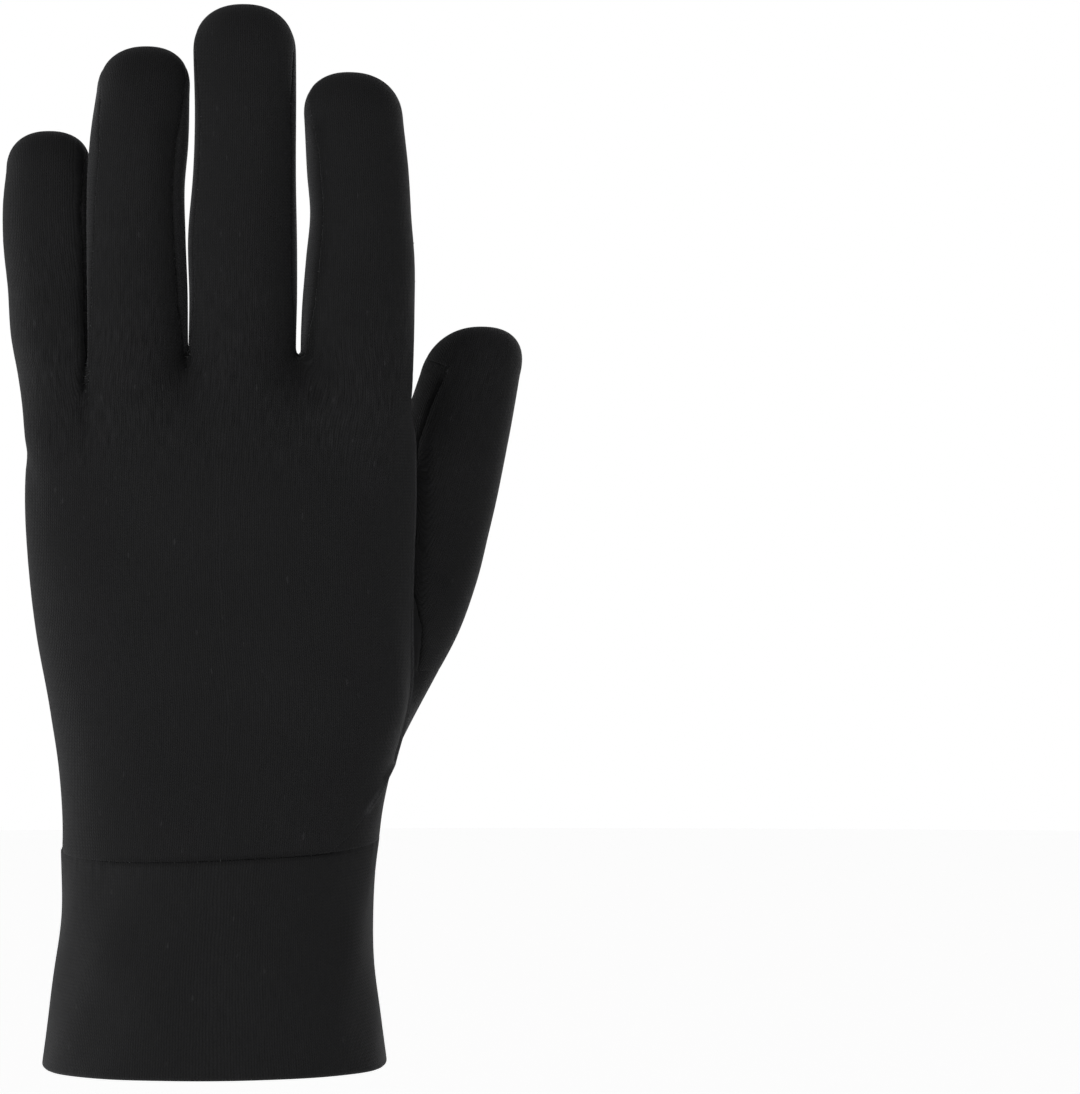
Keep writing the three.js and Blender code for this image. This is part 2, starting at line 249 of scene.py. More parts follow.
PAINTED_SHADE_STREAKS = (
    # Painted shade in the crotches and between the fingers on the back
    painted_spot((21.4, -12, 166), 8, 0.3),
    painted_spot((20.4, -9, 169.6), 3, 0.42),
    painted_spot((-7, -12, 167), 6, 0.34),
    PaintedShadeStreak((-8.4, -11, 177), (-11, -9, 222), 4.5, 0.34),
    painted_spot((-29.5, -9.5, 161), 5, 0.34),
    # Painted shade along the index finger's side seam, and painted light where light from
    # behind glances on the index and ring fingers' side strips
    PaintedShadeStreak((25, -10.5, 192), (25.2, -7.5, 224), 2.6, 0.45),
    PaintedShadeStreak((22.5, -10.6, 171), (23.8, -11, 190), 1.7, 0.55),
    PaintedShadeStreak((20.9, -5.8, 171), (22.4, -4, 222), 3.2, -1.1),
    PaintedShadeStreak((-6.6, -3, 188), (-6.2, -1, 224), 2.6, -0.9),
    # Painted shade on the middle finger's side and on the little finger's lit edge
    PaintedShadeStreak((-4.8, -4, 212), (-4.4, -2, 246), 3.5, 0.35),
    PaintedShadeStreak((-50.5, -2, 184), (-49, -1, 212), 5, 0.3),
    # Painted shade in the pits where the fingers meet the palm
    painted_spot((22, 7, 163.5), 10, 0.34),
    painted_spot((21.5, 6, 165), 4.5, 0.6),
    painted_spot((-4, 7, 167), 9, 0.34),
    painted_spot((-5, 6, 167.5), 4.5, 0.6),
    painted_spot((-24, 7, 160), 9, 0.34),
    painted_spot((-25, 6, 161), 4.5, 0.5),
    # Painted shadow in the pit under the thumb, and painted shade in the palm's hollow
    PaintedShadeStreak((32.5, 8.5, 129), (29, 8.5, 126), 7, 0.68),
    painted_spot((24, 9, 119), 10, 0.22),
    PaintedShadeStreak((15, 6, 143), (5, 6, 147), 22, 0.32),
    # Painted light where the thumb shades the palm and the hand's edge, and painted shade on
    # the thumb's back
    PaintedShadeStreak((40.5, 6, 139), (43, 5, 154), 6.5, -1.3),
    PaintedShadeStreak((46.5, 3, 104), (48, 4, 148), 6, -0.9),
    PaintedShadeStreak((55, 1, 112), (60, 3, 166), 11, 0.22),
    # A painted highlight along the fold at the wrist, with painted shade beside it
    PaintedShadeStreak((39.8, -10.2, 68), (36.1, -13.8, 61.6), 0.9, -1.2),
    PaintedShadeStreak((41.4, -6.5, 68.5), (38.8, -10.3, 61.5), 2, 0.5),
    # Painted shade over the fingertips and the thumb's tip, which face away from the light
    painted_spot((33.5, 0, 236), 11, 0.36),
    painted_spot((7.2, 0, 252), 10, 0.28),
    painted_spot((-17.5, 0, 240), 14, 0.4),
    painted_spot((-39.5, 1, 221), 9, 0.32),
    painted_spot((62.5, 17, 176), 8, 0.3),
)


class Part(Enum):
    """The pieces of cloth that the hand of the glove is sewn from."""

    BACK = "back_panel"
    PALM = "palm_panel"
    THUMB = "thumb_panel"
    INDEX_MIDDLE = "fourchette_index_middle"
    MIDDLE_RING = "fourchette_middle_ring"
    RING_LITTLE = "fourchette_ring_little"


class Facing(Enum):
    """Which face of the hand a piece's wales are counted from."""

    BACK = -1
    PALM = 1
    SIDE = 0


STRIPS = (Part.INDEX_MIDDLE, Part.MIDDLE_RING, Part.RING_LITTLE)
PART_ORDER = tuple(Part)


def smooth_step(start: float, end: float, at: Array) -> Array:
    """Goes from 0 at start to 1 at end, level at both: 3t squared less 2t cubed."""
    t = np.clip((at - start) / (end - start), 0.0, 1.0)
    return t * t * (3.0 - 2.0 * t)


def soft_min(a: Array, b: Array, width: float | Array) -> Array:
    """The lesser of two fields, rounded where they come within a width of each other.

    The rounding takes off a sixth of width times the cube of the closeness, which is 1
    where the two are equal and 0 where they are a width apart.

    Args:
        a: The first field's values.
        b: The second field's values.
        width: How near the two come before they blend, in mm.

    Returns:
        The blended values.
    """
    close = np.maximum(width - np.abs(a - b), 0.0) / width
    return np.minimum(a, b) - close**3 * width / 6.0


def off_line(points: Array, start: Iterable[float], end: Iterable[float]) -> Array:
    """How far each point is from the straight line between two others.

    Args:
        points: One point a row.
        start: Where the line starts.
        end: Where it ends. It may be the same point.

    Returns:
        One distance a point.
    """
    start = np.array(start)
    along = np.array(end) - start
    share = np.clip((points - start) @ along / max(along @ along, 1e-9), 0, 1)
    return np.linalg.norm(points - start - share[:, None] * along, axis=1)


def soft_max(a: Array, b: Array, width: float | Array) -> Array:
    """The greater of two fields, rounded like soft_min."""
    return -soft_min(-a, -b, width)


def bell(at: Array) -> Array:
    """Falls off from 1 at 0 to either side: exp(-d^2)."""
    return np.exp(-(at**2))


def signed_power(value: Array, power: float) -> Array:
    """The power of a value without its sign, with the sign put back."""
    return np.sign(value) * np.abs(value) ** power


def rolled_in(away: Array, reach: float) -> Array:
    """How far cloth has rolled into a seam, from 0 at reach from it to nearly 1 at it.

    It is 1 less the root of 1 less t squared, with t growing from 0 to nearly 1.
    """
    t = np.clip(1 - away / reach, 0, 1)
    return 1 - np.sqrt(1 - ROLL_SHARE * t * t)


def ring_quads(corner: Array) -> Array:
    """Joins rings of points with faces of four sides.

    A face goes from a point to the next one on its ring, to the next ring and back.

    Args:
        corner: The points' numbers, with the rings one after another.

    Returns:
        The four corners of each face.
    """
    right = np.roll(corner, -1, axis=-1)
    low, high = corner[..., :-1, :], corner[..., 1:, :]
    return np.stack([low, right[..., :-1, :], right[..., 1:, :], high], axis=-1)


@dataclass(frozen=True)
class Tube:
    """A tube through level sections with rounded corners, closed at both ends.

    A section's edge is where |x|^n + |y|^n = 1, with x and y as shares of its half width
    and half depth and n its squareness. Over the dome's foot the same rule, with the
    share of the rise as a third term, draws the section in to the tip. Under the lowest
    section it does the same down to the root.

    Attributes:
        sections: The level cuts, lowest first.
        squareness: The power n of the sections, 2 for an ellipse.
        dome_foot: The height where the dome begins.
        tip: The height of the dome's top.
        dome_power: The power of the dome's rule.
        root: How far the tube goes on under its lowest section as it closes.
        lean: How much longer the tube is than its height, for the wales' courses.
    """

    sections: tuple[Section, ...]
    squareness: float
    dome_foot: float
    tip: float
    dome_power: float = 2.3
    root: float = 9.0
    lean: float = 1.0

    def level(self, z: Array) -> tuple[Array, Array, Array, Array, Array]:
        """Works out the section at each height, by cubic curves through the rows.

        Between two rows each column is a cubic whose slopes at the rows come from their
        neighbours. Over the last row the middle goes on along its last slope.

        Args:
            z: The heights.

        Returns:
            The middle's x, the half width, the middle's y, the half depth and the
            palm's dip, at each height.
        """
        rows = np.array(self.sections)
        heights = rows[:, 0]
        middle = (rows[:, 3] + rows[:, 4]) / 2
        deep = (rows[:, 4] - rows[:, 3]) / 2
        columns = np.column_stack([rows[:, 1], rows[:, 2], middle, deep, rows[:, 5]])
        slopes = np.gradient(columns, heights, axis=0)
        held = np.clip(z, heights[0], heights[-1])
        i = np.searchsorted(heights, held, side="right") - 1
        i = np.clip(i, 0, len(heights) - 2)
        gap = (heights[i + 1] - heights[i])[:, None]
        t = (held - heights[i])[:, None] / gap
        value = (2 * t**3 - 3 * t**2 + 1) * columns[i]
        value += (t**3 - 2 * t**2 + t) * gap * slopes[i]
        value += (3 * t**2 - 2 * t**3) * columns[i + 1]
        value += (t**3 - t**2) * gap * slopes[i + 1]
        above = np.maximum(z - heights[-1], 0.0)
        last = (columns[-1] - columns[-2]) / (heights[-1] - heights[-2])
        value[:, 0] += last[0] * above
        value[:, 2] += last[2] * above
        return tuple(value.T)

    def rise(self, z: Array) -> Array:
        """The share of the dome's height that each height is at."""
        return np.maximum(z - self.dome_foot, 0) / (self.tip - self.dome_foot)

    def shares(self, points: Array) -> tuple[Array, Array, Array, Array, Array]:
        """Gives points as shares of the section they lie in.

        Args:
            points: One point a row, in mm.

        Returns:
            The signed share across, the signed share towards the palm, the share of the
            dome's rise, and the half width and half depth that they are shares of.
        """
        x, half_width, middle, half_depth, hollow = self.level(points[:, 2])
        dip = hollow * bell((points[:, 0] - HOLLOW_X) / HOLLOW_SPREAD)
        toward = points[:, 1] - middle
        depth = half_depth - np.where(toward > 0, dip, 0.0)
        rise = self.rise(points[:, 2])
        across = (points[:, 0] - x) / half_width
        return across, toward / depth, rise, half_width, depth

    def reach(self, points: Array) -> Array:
        """How far each point is outside the tube, nearly in mm: less than 0 inside it.

        The rule's value less 1, over its slope, is the distance to first order.

        Args:
            points: One point a row, in mm.

        Returns:
            One distance a point.
        """
        across, toward, rise, half_width, depth = self.shares(points)
        fall = np.maximum(self.sections[0].z - points[:, 2], 0) / self.root
        height = np.where(fall > 0, self.root, self.tip - self.dome_foot)
        rise = np.maximum(rise, fall)
        n, m = self.squareness, self.dome_power
        a, b = np.abs(across), np.abs(toward)
        r = (a**n + b**n) ** (1 / n) + 1e-9
        slope = r ** (1 - n) * np.hypot(a ** (n - 1) / half_width, b ** (n - 1) / depth)
        whole = (r**m + rise**m) ** (1 / m)
        upward = (rise / whole) ** (m - 1) / height
        tilt = np.hypot((r / whole) ** (m - 1) * slope, upward)
        return (whole - 1) / (tilt + 1e-9)

    def loft(self, sides: int, step: float) -> tuple[Array, list]:
        """Builds the tube as a closed grid of rings.

        A ring's point at angle t has shares cos t and sin t, each to the power 2 / n with
        its sign kept, and the dome's rings shrink by its rule.

        Args:
            sides: How many points a ring has.
            step: The distance between two rings, in mm.

        Returns:
            The points and the faces.
        """
        body = np.arange(self.sections[0].z, self.dome_foot, step)
        turn = np.linspace(0, 0.46 * math.pi, 12)
        dome = self.dome_foot + (self.tip - self.dome_foot) * np.sin(turn)
        z = np.concatenate([body, dome])
        x, half_width, middle, half_depth, hollow = self.level(z)
        rise = self.rise(z)
        left = (1 - rise**self.dome_power) ** (1 / self.dome_power)
        angle = np.linspace(0, WHOLE_TURN, sides, endpoint=False)
        power = 2 / self.squareness
        across = signed_power(np.cos(angle), power)
        toward = signed_power(np.sin(angle), power)
        px = x[:, None] + np.outer(half_width * left, across)
        dip = hollow[:, None] * bell((px - HOLLOW_X) / HOLLOW_SPREAD)
        depth = half_depth[:, None] - np.where(toward > 0, dip, 0.0)
        py = middle[:, None] + depth * left[:, None] * toward
        pz = np.repeat(z[:, None], sides, axis=1)
        points = np.stack([px, py, pz], axis=-1).reshape(-1, 3)
        corner = np.arange(len(z) * sides).reshape(len(z), sides)
        faces = ring_quads(corner).reshape(-1, 4).tolist()
        faces += [corner[0][::-1].tolist(), corner[-1].tolist()]
        return points, faces

    def arcs(self, levels: int = 24, samples: int = 97) -> tuple[Array, Array, Array]:
        """Tabulates the length along a section's edge, from the middle of a face.

        Args:
            levels: How many heights the table has.
            samples: How many directions it has, from 0 to half a turn.

        Returns:
            The heights, the directions, and the length at each of both.
        """
        heights = np.linspace(self.sections[0].z, self.sections[-1].z, levels)
        _, half_width, _, half_depth, _ = self.level(heights)
        turn = np.linspace(0, math.pi, samples)
        power = 2 / self.squareness
        x = np.outer(half_width, np.abs(np.sin(turn)) ** power)
        y = np.outer(half_depth, signed_power(np.cos(turn), power))
        steps = np.hypot(np.diff(x, axis=1), np.diff(y, axis=1))
        lengths = np.concatenate([np.zeros((levels, 1)), np.cumsum(steps, axis=1)], 1)
        return heights, turn, lengths

    def pattern(self, points: Array, facing: Facing) -> Array:
        """Lays the flat cloth's coordinates on the tube.

        u is the tube's middle plus the length round the section from the middle of the
        face that the piece is on, and v is the length along the tube. Over the dome v
        goes on over the tip, as the turn in the plane across the finger times the root
        mean square of that plane's two half axes.

        Args:
            points: One point a row, in mm.
            facing: The face that u is counted from.

        Returns:
            u and v of each point, in mm.
        """
        across, toward, rise, _, depth = self.shares(points)
        n = self.squareness
        front = toward * facing.value
        side_on = np.abs(across) ** (n / 2)
        turn = np.arctan2(side_on, signed_power(front, n / 2))
        heights, turns, lengths = self.arcs()
        row = np.interp(points[:, 2], heights, np.arange(len(heights)))
        column = turn / turns[1]
        i = np.clip(row.astype(int), 0, len(heights) - 2)
        j = np.clip(column.astype(int), 0, len(turns) - 2)
        s = row - i
        t = column - j
        low = lengths[i, j] * (1 - t) + lengths[i, j + 1] * t
        high = lengths[i + 1, j] * (1 - t) + lengths[i + 1, j + 1] * t
        inward = np.minimum((np.abs(across) ** n + np.abs(toward) ** n) ** (1 / n), 1.0)
        u = self.sections[3].x + np.sign(across) * (low * (1 - s) + high * s) * inward
        a = np.minimum(np.abs(across), 0.995)
        deep = (1 - a**n) ** (1 / n)
        up = (1 - a**self.dome_power) ** (1 / self.dome_power)
        over = np.arctan2(rise / up, front / deep)
        radius = np.sqrt(((self.tip - self.dome_foot) * up) ** 2 + (depth * deep) ** 2)
        wrapped = np.where(rise > 0, over * radius / math.sqrt(2), 0.0)
        v = np.minimum(points[:, 2], self.dome_foot) * self.lean + wrapped
        return np.column_stack([u, v])


@dataclass(frozen=True)
class Pressed:
    """The plane where the ring and little fingers press together.

    Attributes:
        x: Where the plane crosses y and z.
        y: The height along Y where it is at x.
        z: The height where it is at x.
        lean: How far it goes to the little finger for a mm up.
        slant: Its turn about Z, in radians.
        gap: How far each finger stays from it.
        soft: How softly a finger's side turns into it.
    """

    x: float = -28.5
    y: float = 1.0
    z: float = 196.0
    lean: float = 0.05
    slant: float = math.radians(18)
    gap: float = 0.12
    soft: float = 2.4

    def past(self, points: Array) -> Array:
        """How far each point is past the plane, towards the ring finger, in mm.

        Args:
            points: One point a row, in mm.

        Returns:
            One distance a point.
        """
        along = points[:, 0] - self.x - (points[:, 1] - self.y) * math.tan(self.slant)
        along += (points[:, 2] - self.z) * self.lean
        return along * math.cos(self.slant)


@dataclass(frozen=True)
class HandForm:
    """The smooth form of the hand, its fingers and thumb, as a field.

    Attributes:
        hand: The hand's tube.
        fingers: The fingers' tubes, from index to little.
        thumb: The thumb's tube.
        pressed: Where the ring and little fingers press together.
        back_blend: How softly the fingers grow out of the back of the hand.
        palm_blend: How softly they do out of the palm, where they overhang it.
        finger_blend: How near two fingers come before they blend.
        thumb_blend: How softly the thumb does.
        ball_blend: How softly the ball of the thumb runs out into the palm.
        wave_height: The height of the cloth's slow waves.
        overhang: From and to these heights along Y the back's softness turns into the
            palm's.
        ball_z: From and to these heights the thumb's softness turns into the ball's.
        ball_y: The same along Y.
        crotch_x: The x of the highest crotch, from which the hand's top falls.
        crotch_reach: How far from there it falls.
        crotch_fall: The fall for each mm squared, and what each mm takes off it.
        crotch_z: From and to these heights the hand's sections are read higher.
        merge: How soon one tube's pattern passes into another's.
    """

    hand: Tube = Tube(HAND_SECTIONS, 2.5, 167.1, 170.7)
    fingers: tuple[Tube, ...] = (
        Tube(INDEX_SECTIONS, 2.2, 227, 238.2),
        Tube(MIDDLE_SECTIONS, 2.2, 243, 254.8),
        Tube(RING_SECTIONS, 2.2, 233.5, 244.3),
        Tube(LITTLE_SECTIONS, 2.2, 214.4, 224.2),
    )
    thumb: Tube = Tube(THUMB_SECTIONS, 2.2, 166.6, 178.4, lean=1.08)
    pressed: Pressed = Pressed()
    back_blend: float = 5.0
    palm_blend: float = 1.4
    finger_blend: float = 0.3
    thumb_blend: float = 3.0
    ball_blend: float = 14.0
    wave_height: float = 0.16
    overhang: Span = (-13.0, -7.0)
    ball_z: Span = (132.0, 106.0)
    ball_y: Span = (3.0, 11.0)
    crotch_x: float = 20.4
    crotch_reach: float = 54.0
    crotch_fall: Span = (0.0059, 0.084)
    crotch_z: Span = (138.0, 160.0)
    merge: float = 1.8

    @property
    def tubes(self) -> tuple[Tube, ...]:
        """All its tubes: the hand's, the fingers' and the thumb's."""
        return (self.hand, *self.fingers, self.thumb)

    def digits(self, points: Array, beside: Array) -> list[Array]:
        """How far each point is outside each finger.

        Args:
            points: One point a row, in mm.
            beside: Over 0 on the ring finger's side of the pressed plane and under 0 on
                the little finger's. A point doesn't see the finger on the other side.

        Returns:
            One array of distances a finger.
        """
        index, middle, ring, little = (tube.reach(points) for tube in self.fingers)
        past = self.pressed.past(points)
        gap = self.pressed.gap
        ring = soft_max(ring, gap - past, self.pressed.soft)
        little = soft_max(little, past + gap, self.pressed.soft)
        ring = np.where(beside < 0, 99.0, ring)
        little = np.where(beside > 0, 99.0, little)
        return [index, middle, ring, little]

    def relief(self, points: Array) -> Array:
        """The cloth's slow waves and pressed folds, in mm outwards.

        The waves are three products of sines. A fold's depth falls off as a bell of the
        distance from its line, as a share of its width.

        Args:
            points: One point a row, in mm.

        Returns:
            The height at each point.
        """
        x, y, z = points.T
        wave = np.sin(x / 9.1 + 0.7) * np.sin(z / 11.3 + 1.9)
        wave += 0.7 * np.sin(x / 5.3 + y / 6.1) * np.sin(z / 6.7 + 0.4)
        wave += 0.5 * np.sin(y / 4.7 + 2.1) * np.sin(z / 8.3 - x / 13.0)
        height = self.wave_height * wave
        for crease in CREASES:
            away = off_line(points, crease.start, crease.end) / crease.width
            height -= crease.depth * bell(away)
        return height

    def hand_reach(self, points: Array) -> Array:
        """How far each point is outside the hand, whose top falls to the little finger.

        The fall is a square curve through the three crotches' heights, and the sections
        under it are read that much higher.

        Args:
            points: One point a row, in mm.

        Returns:
            One distance a point.
        """
        aside = np.clip(self.crotch_x - points[:, 0], 0.0, self.crotch_reach)
        curve, less = self.crotch_fall
        fall = np.maximum(curve * aside**2 - less * aside, 0.0)
        lifted = points.copy()
        lifted[:, 2] += fall * smooth_step(*self.crotch_z, points[:, 2])
        return self.hand.reach(lifted)

    def reach(self, points: Array, beside: Array) -> Array:
        """How far each point is outside the whole form, nearly in mm.

        Args:
            points: One point a row, in mm.
            beside: The side of the pressed plane that each counts for.

        Returns:
            One distance a point, less than 0 inside.
        """
        index, middle, ring, little = self.digits(points, beside)
        near = self.finger_blend
        first_two = soft_min(index, middle, near)
        fingers = soft_min(first_two, soft_min(ring, little, near), near)
        _, y, z = points.T
        off_back = smooth_step(*self.overhang, y)
        blend = self.back_blend + (self.palm_blend - self.back_blend) * off_back
        whole = soft_min(self.hand_reach(points), fingers, blend)
        ball = smooth_step(*self.ball_z, z) * smooth_step(*self.ball_y, y)
        blend = self.thumb_blend + (self.ball_blend - self.thumb_blend) * ball
        whole = soft_min(whole, self.thumb.reach(points), blend)
        return whole - self.relief(points)

    def slope(self, points: Array, beside: Array, step: float = 0.05) -> Array:
        """The field's slope, from its values a small step to either side.

        Args:
            points: One point a row, in mm.
            beside: The side of the pressed plane that each counts for.
            step: The small step, in mm.

        Returns:
            The slope along x, y and z at each point.
        """
        columns = []
        for axis in np.eye(3) * step:
            ahead = self.reach(points + axis, beside)
            behind = self.reach(points - axis, beside)
            columns.append((ahead - behind) / (2 * step))
        return np.column_stack(columns)

    def outward(self, points: Array) -> Array:
        """The unit direction out of the form at each point."""
        slope = self.slope(points, self.beside(points))
        return slope / np.linalg.norm(slope, axis=1, keepdims=True)

    def beside(self, points: Array) -> Array:
        """The side of the pressed plane that each point is on, 1 or -1."""
        return np.where(self.pressed.past(points) < 0, -1.0, 1.0)

    def nearest_finger(self, points: Array) -> Array:
        """The number of the finger that each point is on or nearest to."""
        return np.argmin(self.digits(points, self.beside(points)), axis=0)

    def tips(self, finger: Array) -> Array:
        """The height of each numbered finger's tip."""
        return np.array([tube.tip for tube in self.fingers])[finger]

    def own_level(self, z: Array, finger: Array, column: int) -> Array:
        """One of the columns of Tube.level at each height, on each numbered finger."""
        columns = np.stack([tube.level(z)[column] for tube in self.fingers])
        return columns[finger, np.arange(len(z))]

    def pattern(self, points: Array, facing: Facing) -> Array:
        """Lays the flat cloth's coordinates on the whole form.

        Each tube's own u and v are weighted by exp(-d), with d how much further outside
        that tube the point is than outside its nearest, over merge, so they pass into
        one another.

        Args:
            points: One point a row, in mm.
            facing: The face that u is counted from.

        Returns:
            u and v of each point, in mm.
        """
        if facing is Facing.SIDE:
            return points[:, [2, 1]]
        away = np.stack([tube.reach(points) for tube in self.tubes])
        weight = np.exp(-(away - away.min(axis=0)) / self.merge)
        weight /= weight.sum(axis=0)
        laid = np.stack([tube.pattern(points, facing) for tube in self.tubes])
        return np.einsum("tp,tpc->pc", weight, laid)


@dataclass
class TriMesh:
    """A mesh of triangles: its points, in mm, and the corners of each triangle."""

    points: Array
    triangles: Array

    def sides(self) -> Array:
        """The two ends of each triangle's three sides, a row a side."""
        return self.triangles[:, [[0, 1], [1, 2], [2, 0]]].reshape(-1, 2)

    def edges(self) -> tuple[Array, Array]:
        """Finds each edge once.

        Returns:
            The two ends of each edge, and the three edges of each triangle.
        """
        pairs = np.sort(self.sides(), axis=1)
        ends, which = np.unique(pairs, axis=0, return_inverse=True)
        return ends, which.reshape(-1, 3)

    def bunching(self, laid: Array) -> Array:
        """How far the wales bunch up at each point, from 0 to 1.

        Each edge's steepness is the change of u over its length. A point takes that of
        its steepest edge, and then the mean of its neighbours' and its own.

        Args:
            laid: The pattern's u and v at each point.

        Returns:
            How far they bunch up.
        """
        ends, _ = self.edges()
        one, other = ends.T
        length = np.linalg.norm(self.points[one] - self.points[other], axis=1)
        climb = np.abs(laid[one, 0] - laid[other, 0]) / np.maximum(length, SHORT_EDGE)
        steep = np.where(length > SHORT_EDGE, climb, 0.0)
        most = np.zeros(len(self.points))
        np.maximum.at(most, ends.ravel(), np.repeat(steep, 2))
        total = np.bincount(ends.ravel(), np.repeat(most[ends].mean(axis=1), 2))
        count = np.bincount(ends.ravel())
        return smooth_step(*BUNCHED, total / np.maximum(count, 1))

    def relax(self, share: float) -> None:
        """Moves each point a share of the way to the mean of its neighbours.

        Args:
            share: How much of the way they move.
        """
        ends, _ = self.edges()
        one, other = np.concatenate([ends, ends[:, ::-1]]).T
        count = np.bincount(one, minlength=len(self.points))[:, None]
        columns = self.points[other].T
        total = np.column_stack(
            [np.bincount(one, column, len(self.points)) for column in columns]
        )
        self.points += share * (total / np.maximum(count, 1) - self.points)

    def snap(self, zone: Field, near: float = 0.3) -> Array:
        """Moves points that lie close to a zone's edge along a mesh edge on to it.

        Args:
            zone: The field that is over 0 inside the zone.
            near: How close a point is that moves, as a share of its mesh edge.

        Returns:
            The zone's values, 0 at the points that moved.
        """
        value = zone(self.points)
        ends, _ = self.edges()
        crossing = value[ends[:, 0]] * value[ends[:, 1]] < 0
        one, other = ends[crossing].T
        share = value[one] / (value[one] - value[other])
        who = np.concatenate([one, other])
        goal = np.concatenate([other, one])
        move = np.concatenate([share, 1 - share])
        close = move < near
        who, goal, move = who[close], goal[close], move[close]
        order = np.argsort(-move)
        step = np.zeros(len(self.points))
        target = np.arange(len(self.points))
        step[who[order]] = move[order]
        target[who[order]] = goal[order]
        old = self.points
        self.points = old + step[:, None] * (old[target] - old)
        value[step > 0] = 0.0
        return value

    def cut(self, zone: Field) -> None:
        """Splits the triangles that a zone's edge runs through, along that edge.

        Args:
            zone: The field that is over 0 inside the zone.
        """
        value = self.snap(zone)
        ends, of_triangle = self.edges()
        crossed = value[ends[:, 0]] * value[ends[:, 1]] < 0
        one, other = ends[crossed].T
        share = (value[one] / (value[one] - value[other]))[:, None]
        added = self.points[one] + share * (self.points[other] - self.points[one])
        number = np.full(len(ends), -1)
        number[crossed] = len(self.points) + np.arange(len(added))
        self.points = np.concatenate([self.points, added])
        split = number[of_triangle]
        hits = (split >= 0).sum(axis=1)
        kept = self.triangles[hits == 0]
        new = [kept]
        for turn in range(3):
            corners = np.roll(self.triangles, -turn, axis=1)
            cuts = np.roll(split, -turn, axis=1)
            single = (hits == 1) & (cuts[:, 1] >= 0)
            a, b, c = corners[single].T
            m = cuts[single, 1]
            new += [np.column_stack([a, b, m]), np.column_stack([a, m, c])]
            double = (hits == 2) & (cuts[:, 1] < 0)
            a, b, c = corners[double].T
            ab = cuts[double, 0]
            ca = cuts[double, 2]
            new += [np.column_stack([a, ab, ca])]
            new += [np.column_stack([ab, b, c]), np.column_stack([ab, c, ca])]
        self.triangles = np.concatenate(new)

    def centres(self) -> Array:
        """The middle of each triangle."""
        return self.points[self.triangles].mean(axis=1)

    def keep(self, chosen: Array) -> Array:
        """Drops the other triangles and the points that only they use.

        Args:
            chosen: True for each triangle that stays.

        Returns:
            The old number of each point that is left.
        """
        used, corners = np.unique(self.triangles[chosen], return_inverse=True)
        self.triangles = corners.reshape(-1, 3)
        self.points = self.points[used]
        return used


def evened(points: Array, faces: list, voxel: float) -> TriMesh:
    """Joins overlapping closed shapes into one skin of even small faces.

    Args:
        points: The shapes' points, in mm.
        faces: The shapes' faces.
        voxel: The size of the new faces, in mm.

    Returns:
        The skin.
    """
    mesh = bpy.data.meshes.new("rough_form")
    mesh.from_pydata(points.tolist(), [], faces)
    rough = bpy.data.objects.new("rough_form", mesh)
    bpy.context.scene.collection.objects.link(rough)
    modifier = rough.modifiers.new("even_faces", "REMESH")
    modifier.mode = "VOXEL"
    modifier.voxel_size = voxel
    graph = bpy.context.evaluated_depsgraph_get()
    skin = rough.evaluated_get(graph).to_mesh()
    skin.calc_loop_triangles()
    found = np.empty(len(skin.vertices) * 3, np.float32)
    skin.vertices.foreach_get("co", found)
    corners = np.empty(len(skin.loop_triangles) * 3, np.int32)
    skin.loop_triangles.foreach_get("vertices", corners)
    made = TriMesh(found.reshape(-1, 3).astype(float), corners.reshape(-1, 3))
    bpy.data.objects.remove(rough)
    bpy.data.meshes.remove(mesh)
    return made


def chains(ends: Array) -> list[list[int]]:
    """Links edges end to end into lines that stop where three or more meet.

    Args:
        ends: The two ends of each edge.

    Returns:
        The points of each line, in order.
    """
    meets: dict[int, list[int]] = {}
    for a, b in ends.tolist():
        meets.setdefault(a, []).append(b)
        meets.setdefault(b, []).append(a)
    left = {(min(a, b), max(a, b)) for a, b in ends.tolist()}
    starts = [p for p, near in meets.items() if len(near) != 2] + list(meets)
    lines = []
    for start in starts:
        for step in meets[start]:
            line = [start]
            at = step
            edge = (min(start, at), max(start, at))
            while edge in left:
                left.remove(edge)
                line.append(at)
                if len(meets[at]) != 2:
                    break
                at = next((p for p in meets[at] if p != line[-2]), line[-2])
                edge = (min(line[-1], at), max(line[-1], at))
            if len(line) > 2:
                lines.append(line)
    return lines


